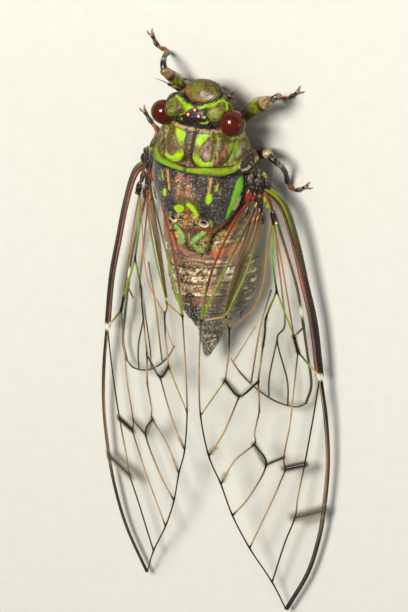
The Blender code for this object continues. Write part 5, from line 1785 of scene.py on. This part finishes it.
HIND_LEG = (
    [(1.4, 7.9, 0.45), (1.95, 7.0, 0.5), (2.3, 6.15, 0.6)],
    [(2.35, 5.75, 0.6), (2.5, 3.4, 0.5), (2.35, 0.9, 0.4)],
    [(2.3, 0.5, 0.3), (2.05, -0.5, 0.2), (1.6, -1.4, 0.15)],
    (0.3, 0.35, 0.3),
)
LEGS = {
    "fore_left": (
        [(-1.65, 14.6, 0.55), (-2.1, 15.75, 0.95), (-2.55, 16.9, 1.6), (-3.15, 18.25, 2.85)],
        [(-3.38, 18.7, 2.6), (-3.74, 18.8, 1.6), (-4.0, 18.6, 0.65)],
        [(-4.5, 18.65, 0.3), (-5.05, 18.8, 0.2), (-5.5, 19.5, 0.15)],
        (0.35, 0.42, 0.5, 0.34),
    ),
    "fore_right": (
        [(1.65, 14.4, 0.5), (2.5, 15.4, 0.9), (3.4, 16.3, 1.6), (4.75, 17.3, 2.5)],
        [(5.4, 17.8, 2.25), (5.0, 17.3, 1.45), (4.65, 16.85, 0.65)],
        [(5.2, 16.75, 0.3), (5.5, 16.95, 0.2), (5.95, 17.35, 0.15)],
        (0.38, 0.48, 0.6, 0.46),
    ),
    "mid_left": (
        [(-2.05, 10.5, 0.4), (-3.25, 10.1, 0.6), (-4.3, 9.6, 1.2)],
        [(-4.95, 10.0, 1.3), (-5.05, 10.8, 0.85), (-5.05, 11.65, 0.55)],
        [(-5.1, 12.2, 0.3), (-5.55, 12.6, 0.2), (-6.15, 13.35, 0.15)],
        (0.3, 0.36, 0.32),
    ),
    "mid_right": (
        [(2.35, 11.55, 0.4), (3.7, 12.3, 0.6), (4.6, 13.1, 2.15)],
        [(5.35, 12.65, 2.3), (5.5, 11.55, 1.2), (5.45, 10.35, 0.55)],
        [(5.55, 9.85, 0.3), (5.95, 9.65, 0.2), (6.7, 10.05, 0.15)],
        (0.3, 0.38, 0.36),
    ),
    "hind_left": (*(np.array(path) * (-1, 1, 1) for path in HIND_LEG[:3]), HIND_LEG[3]),
    "hind_right": HIND_LEG,
}
SOLE = 0.02
SPINE_LENGTH = 0.3
CLAW_LENGTH = 0.42
FEMUR_PALE_SIDE = math.pi
TIBIA_RADII = (0.26, 0.23, 0.2, 0.18, 0.18, 0.2)


def leg_upward(path):
    """A direction square to the leg's plane, for the frames of its rings."""
    path = np.asarray(path, float)
    chord = path[-1] - path[0]
    bend = path[1] - path[0] - chord * (path[1] - path[0]).dot(chord) / chord.dot(chord)
    square = np.cross(chord, bend)
    if np.linalg.norm(square) < 1e-3:
        square = np.cross(chord, (0.3, 0.2, 0.9))
    return square / np.linalg.norm(square)


def leg_segment(path, radii, sides=24, ripple=0.04, steps=64):
    """A tube along a smooth path with fine long ribs; returns its form and each point's share
    along and angle round the segment."""
    line = even(curve(path, 12), steps)
    share = np.linspace(0, 1, steps)
    radii = np.interp(share, np.linspace(0, 1, len(radii)), radii)
    rings = sweep(line, radii, sides, leg_upward(path), wave=lambda s, turn: 1 + ripple * np.cos(5 * turn))
    rings[..., 2] = np.maximum(rings[..., 2], SOLE)
    form = loft(rings)
    rows = len(rings)
    along = np.append(np.repeat(np.linspace(0, 1, rows), sides), [0, 1])
    around = np.append(np.tile(np.arange(sides) * 2 * math.pi / sides, rows), [0, 0])
    return form, along, around


def spine(root, tip, radius):
    """A thin tapering spur from root to tip, with its colour."""
    taper = radius * np.array([1, 0.85, 0.6, 0.35, 0.12])
    upward = leg_upward([root, (root + tip) / 2, tip])
    form = loft(sweep(np.linspace(root, tip, 5), taper, 7, upward))
    return form, paint(len(form[0]), "sepia")


def femur_parts(path, radii, front):
    """The thigh: green and brown streaks, pale below and at the knee, with spines on a front leg."""
    form, along, around = leg_segment(path, radii, ripple=0.03)
    pale = np.clip(np.cos(around - FEMUR_PALE_SIDE) * 1.5 + 0.3, 0, 1)
    speck = noise(form[0], 0.14, 90)
    streak = noise(np.stack([around * 2, along * 2, 0 * along], axis=1), 0.5, 91)
    knee = np.clip((along + 0.05 * (speck - 0.5) - 0.86) / 0.04, 0, 1)
    colours = paint(
        len(form[0]), "olive",
        (0.7 * (streak > 0.52), "umber"),
        (0.8 * (streak > 0.64), "soot"),
        (0.85 * pale * (streak > 0.34), "tan"),
        (0.6 * pale * (streak > 0.55), "cream"),
        (0.7 * band(along, 0.62, 0.8, 0.1) * (speck > 0.42), "moss"),
        (0.6 * (speck > 0.66), "tan"),
        (0.6 * (speck < 0.33), "sepia"),
        (0.7 * band(along, 0.8, 0.86, 0.03), "sepia"),
        (knee, "tan" if front else "cream"),
        (0.6 * knee * (speck > 0.55), "umber"),
        (0.6 * band(along, 0.95, 1.1, 0.03) * (speck > 0.45), "umber"),
        (0.5 * knee * (speck < 0.36), "sepia"),
    )
    parts = [(form, colours)]
    if front:
        line = even(curve(path, 8), 40)
        for number, place_on in enumerate((12, 20, 27)):
            root = line[place_on] + (0, 0, -0.35)
            tip = root + (0.0, 0.12, -0.38 + 0.04 * number)
            parts.append(spine(root, np.maximum(tip, SOLE + 0.05), 0.1))
    return gathered(parts)


def tibia_parts(path, start):
    """The shin starts inside the knee and ends in the foot, with two rows of spurs."""
    path = np.vstack([start, np.asarray(path, float)])
    form, along, _ = leg_segment(path, TIBIA_RADII, sides=20)
    speck = noise(form[0], 0.13, 92)
    colours = paint(
        len(form[0]), "soot",
        (0.6 * (speck > 0.6), "sepia"),
        (0.8 * band(along, 0.3, 0.38, 0.04) * (speck > 0.4), "tan"),
        (0.6 * (speck > 0.7), "tan"),
        (band(along, 0.0, 0.1, 0.05), "umber"),
        (0.5 * band(along, 0.6, 0.85, 0.1), "sepia"),
        (band(along, 0.92, 1.1, 0.05), "sepia"),
    )
    parts = [(form, colours)]
    line = even(curve(path, 8), 40)
    across = leg_upward(path)
    for number, place_on in enumerate((16, 22, 28, 34)):
        lean = across * (1 if number % 2 else -1)
        root = line[place_on] + lean * 0.1
        along_leg = line[place_on + 2] - line[place_on]
        along_leg /= np.linalg.norm(along_leg)
        tip = root + lean * SPINE_LENGTH * 0.7 + along_leg * SPINE_LENGTH * 0.7
        tip[2] = max(tip[2], SOLE + 0.03)
        parts.append(spine(root, tip, 0.045))
    return gathered(parts)


def tarsus_parts(path, start):
    """Three foot joints that swell at their ends, and two hooked claws."""
    path = np.vstack([start, np.asarray(path, float)])
    share = np.linspace(0, 1, 13)
    radii = 0.15 + 0.03 * np.cos(share * 6 * math.pi) - 0.03 * share
    form, along, _ = leg_segment(path, radii, sides=20, ripple=0.02)
    speck = noise(form[0], 0.2, 93)
    colours = paint(
        len(form[0]), "rust",
        (0.6 * (speck > 0.5), "amber"),
        (band(along, 0.5, 1.1, 0.15), "sepia"),
        (0.7 * band(along, 0.28, 0.36, 0.04), "umber"),
        (0.7 * band(along, 0.94, 1.1, 0.04), "tan"),
    )
    parts = [(form, colours)]
    end = path[-1]
    forward = path[-1] - path[-2]
    forward[2] = 0
    forward /= np.linalg.norm(forward)
    across = np.array([-forward[1], forward[0], 0.0])
    for side in (1, -1):
        hook = curve([
            end + across * side * 0.06,
            end + forward * 0.2 + across * side * 0.16 + (0, 0, 0.05),
            end + forward * CLAW_LENGTH + across * side * 0.24 + (0, 0, -0.1),
        ], 6)
        hook[:, 2] = np.maximum(hook[:, 2], SOLE + 0.02)
        claw = loft(sweep(hook, np.linspace(0.07, 0.015, len(hook)), 8))
        along = np.linspace(0, 1, len(claw[0]))
        parts.append((claw, paint(len(along), "rust", (band(along, 0.5, 2, 0.2), "soot"))))
    return gathered(parts)


def make_legs():
    """Three pieces for each leg: thigh, shin and foot."""
    for leg, (femur, tibia, tarsus, radii) in LEGS.items():
        form, colours = femur_parts(femur, radii, leg.startswith("fore"))
        make_piece(f"thigh_{leg}", form, LEG_FINISH, [f"femur_{leg}"], colours)
        form, colours = tibia_parts(tibia, femur[-1])
        make_piece(f"shin_{leg}", form, LEG_FINISH, [f"tibia_{leg}"], colours)
        form, colours = tarsus_parts(tarsus, tibia[-1])
        make_piece(f"foot_{leg}", form, LEG_FINISH, [f"tarsus_{leg}"], colours)


# Coats


def make_coats(head, shield, back, trunk, abdomen, tail):
    """Short hairs over the skins, each part with its own density, length and tone."""
    def on_rings(p):
        y, share = ring_place(p)
        blotch = noise(p, 0.45, 74)
        rows = 0.35 + 0.65 * band(share, 0.15, 0.85, 0.2)
        rich = 0.25 + 0.75 * band(y, 1.2, 3.9, 0.3) * (blotch > 0.42) * (p[:, 0] < 1.4)
        return rows * rich * np.clip((p[:, 2] - 1.6) / 0.4, 0.1, 1)

    def ring_hair(p):
        y, _ = ring_place(p)
        return paint(len(p), "gold", (ramp(y, 1.6, -0.8), "silver"), (band(y, 1.5, 2.6, 0.4), "cream"))

    coat = Coat(SEED)
    coat.grow(abdomen, 9000, on_rings, 0.16, ring_hair)
    coat.grow(tail, 500, lambda p: 0.7 + 0 * p[:, 0], 0.22, lambda p: paint(len(p), "silver"), lift=0.6)
    coat.make("abdomen_hair", 0.009)

    coat = Coat(SEED + 1)
    coat.grow(trunk, 4500, lambda p: 0.75 + 0 * p[:, 0], 0.26, lambda p: paint(len(p), "silver"))
    coat.make("trunk_hair", 0.01)

    def rear_of_back(p):
        return 0.12 + 0.6 * ramp(p[:, 1], 8.8, -1.0) + 0.3 * (np.abs(p[:, 0]) > 2.9)

    coat = Coat(SEED + 2)
    coat.grow(back, 4000, rear_of_back, 0.13, lambda p: paint(len(p), "gold"))
    coat.make("mesonotum_hair", 0.008)

    coat = Coat(SEED + 3)
    coat.grow(shield, 2500, lambda p: 0.12 + 0.8 * (p[:, 2] < 3.4), 0.2, lambda p: paint(len(p), "tan"))
    coat.grow(head, 2500, lambda p: 0.15 + 0.7 * (p[:, 2] < 3.2), 0.2, lambda p: paint(len(p), "tan"))
    coat.make("head_hair", 0.01)


# Studio: the floor, the lamps and the camera

CAMERA_EYE = (87.32, 110.46, 184.33)
CAMERA_TARGET = (-0.128, 0.0, 2.7)
CAMERA_RIGHT = (0.9010, 0.0003, -0.4339)
LENS = 185.2
SENSOR = 36.0
FLOOR_HALF = 260.0
# Each lamp: its direction as parts to the camera's right, upwards and towards the camera, then its
# distance, size, watts and colour
LAMPS = [
    ("key_lamp", (-0.5, 0.1, 0.9), 320.0, 110.0, 1.45, (1.0, 0.96, 0.88)),
    ("fill_lamp", (0.9, -0.3, 0.6), 380.0, 160.0, 0.14, (0.95, 0.98, 1.0)),
]
SKY_COLOUR = (0.95, 0.97, 1.0, 1)
SKY_STRENGTH = 0.24
FLOOR_STEPS = 64


def make_floor():
    """A flat square sheet on the ground."""
    line = np.linspace(-FLOOR_HALF, FLOOR_HALF, FLOOR_STEPS)
    x, y = np.meshgrid(line, line, indexing="ij")
    points = np.stack([x, y + LENGTH_CENTRE, 0 * x], axis=-1).reshape(-1, 3)
    i = np.arange(FLOOR_STEPS - 1)[:, None] * FLOOR_STEPS
    j = np.arange(FLOOR_STEPS - 1)
    corner = i + j
    faces = np.stack([corner, corner + FLOOR_STEPS, corner + FLOOR_STEPS + 1, corner + 1], axis=-1)
    faces = faces.reshape(-1, 4)
    mesh = bpy.data.meshes.new("studio_floor")
    mesh.from_pydata(place(points).tolist(), [], faces.tolist())
    finish = bpy.data.materials.new("studio floor")
    finish.use_nodes = True
    tree = finish.node_tree
    spots = add(tree, "ShaderNodeTexCoord").outputs["Object"]
    grain = noise_of(spots, 900.0, 5.0)
    shade = tinted(grain, (0.62, 0.62, 0.58, 1), (0.68, 0.68, 0.64, 1))
    shader = tree.nodes["Principled BSDF"]
    tree.links.new(shade, shader.inputs["Base Color"])
    tree.links.new(spread(grain, 0.3, 0.7, 0.75, 0.9), shader.inputs["Roughness"])
    shader.inputs["Specular IOR Level"].default_value = 0.1
    mesh.materials.append(finish)
    floor = bpy.data.objects.new("studio_floor", mesh)
    bpy.context.scene.collection.objects.link(floor)


def view_axes():
    """The camera's right, up and backward directions."""
    back = np.array(CAMERA_EYE) - CAMERA_TARGET
    back /= np.linalg.norm(back)
    right = np.array(CAMERA_RIGHT)
    right -= back * right.dot(back)
    right /= np.linalg.norm(right)
    return right, np.cross(back, right), back


def make_camera():
    """The studio camera, at the measured place and angle."""
    right, up, back = view_axes()
    data = bpy.data.cameras.new("studio_camera")
    data.sensor_fit = "VERTICAL"
    data.sensor_width = SENSOR
    data.sensor_height = SENSOR
    data.lens = LENS
    data.clip_start = 0.01
    data.clip_end = 10.0
    camera = bpy.data.objects.new("studio_camera", data)
    turn = Matrix([[*row] for row in np.column_stack([right, up, back])]).to_4x4()
    camera.matrix_world = Matrix.Translation(Vector(place(CAMERA_EYE))) @ turn
    bpy.context.scene.collection.objects.link(camera)
    bpy.context.scene.camera = camera


def make_lamp(name, direction, distance, size, power, warmth):
    """A soft square lamp that faces the insect from a direction."""
    direction = np.array(direction, float)
    direction /= np.linalg.norm(direction)
    data = bpy.data.lights.new(name, "AREA")
    data.size = size * MM
    data.energy = power
    data.color = warmth
    lamp = bpy.data.objects.new(name, data)
    lamp.location = place(np.array(CAMERA_TARGET) + direction * distance)
    lamp.rotation_mode = "QUATERNION"
    lamp.rotation_quaternion = Vector(direction).to_track_quat("Z", "Y")
    bpy.context.scene.collection.objects.link(lamp)


def make_lights():
    """A warm lamp to the left of the camera, a weak cool one to its right, and a pale sky."""
    right, up, back = view_axes()
    for name, (across, rise, towards), *rest in LAMPS:
        make_lamp(name, across * right + rise * up + towards * back, *rest)
    world = bpy.data.worlds.new("studio_world")
    world.use_nodes = True
    backdrop = world.node_tree.nodes["Background"]
    backdrop.inputs["Color"].default_value = SKY_COLOUR
    backdrop.inputs["Strength"].default_value = SKY_STRENGTH
    bpy.context.scene.world = world
    bpy.context.scene.view_settings.view_transform = "Standard"


def main():
    """The studio first, then the body, the wings, the legs and the hair."""
    make_camera()
    make_lights()
    make_floor()
    head = make_head()
    shield = make_pronotum()
    back = make_mesonotum()
    trunk = make_trunk()
    make_hinges()
    abdomen, tail = make_abdomen()
    make_wings()
    make_legs()
    make_coats(head, shield, back, trunk, abdomen, tail)


main()
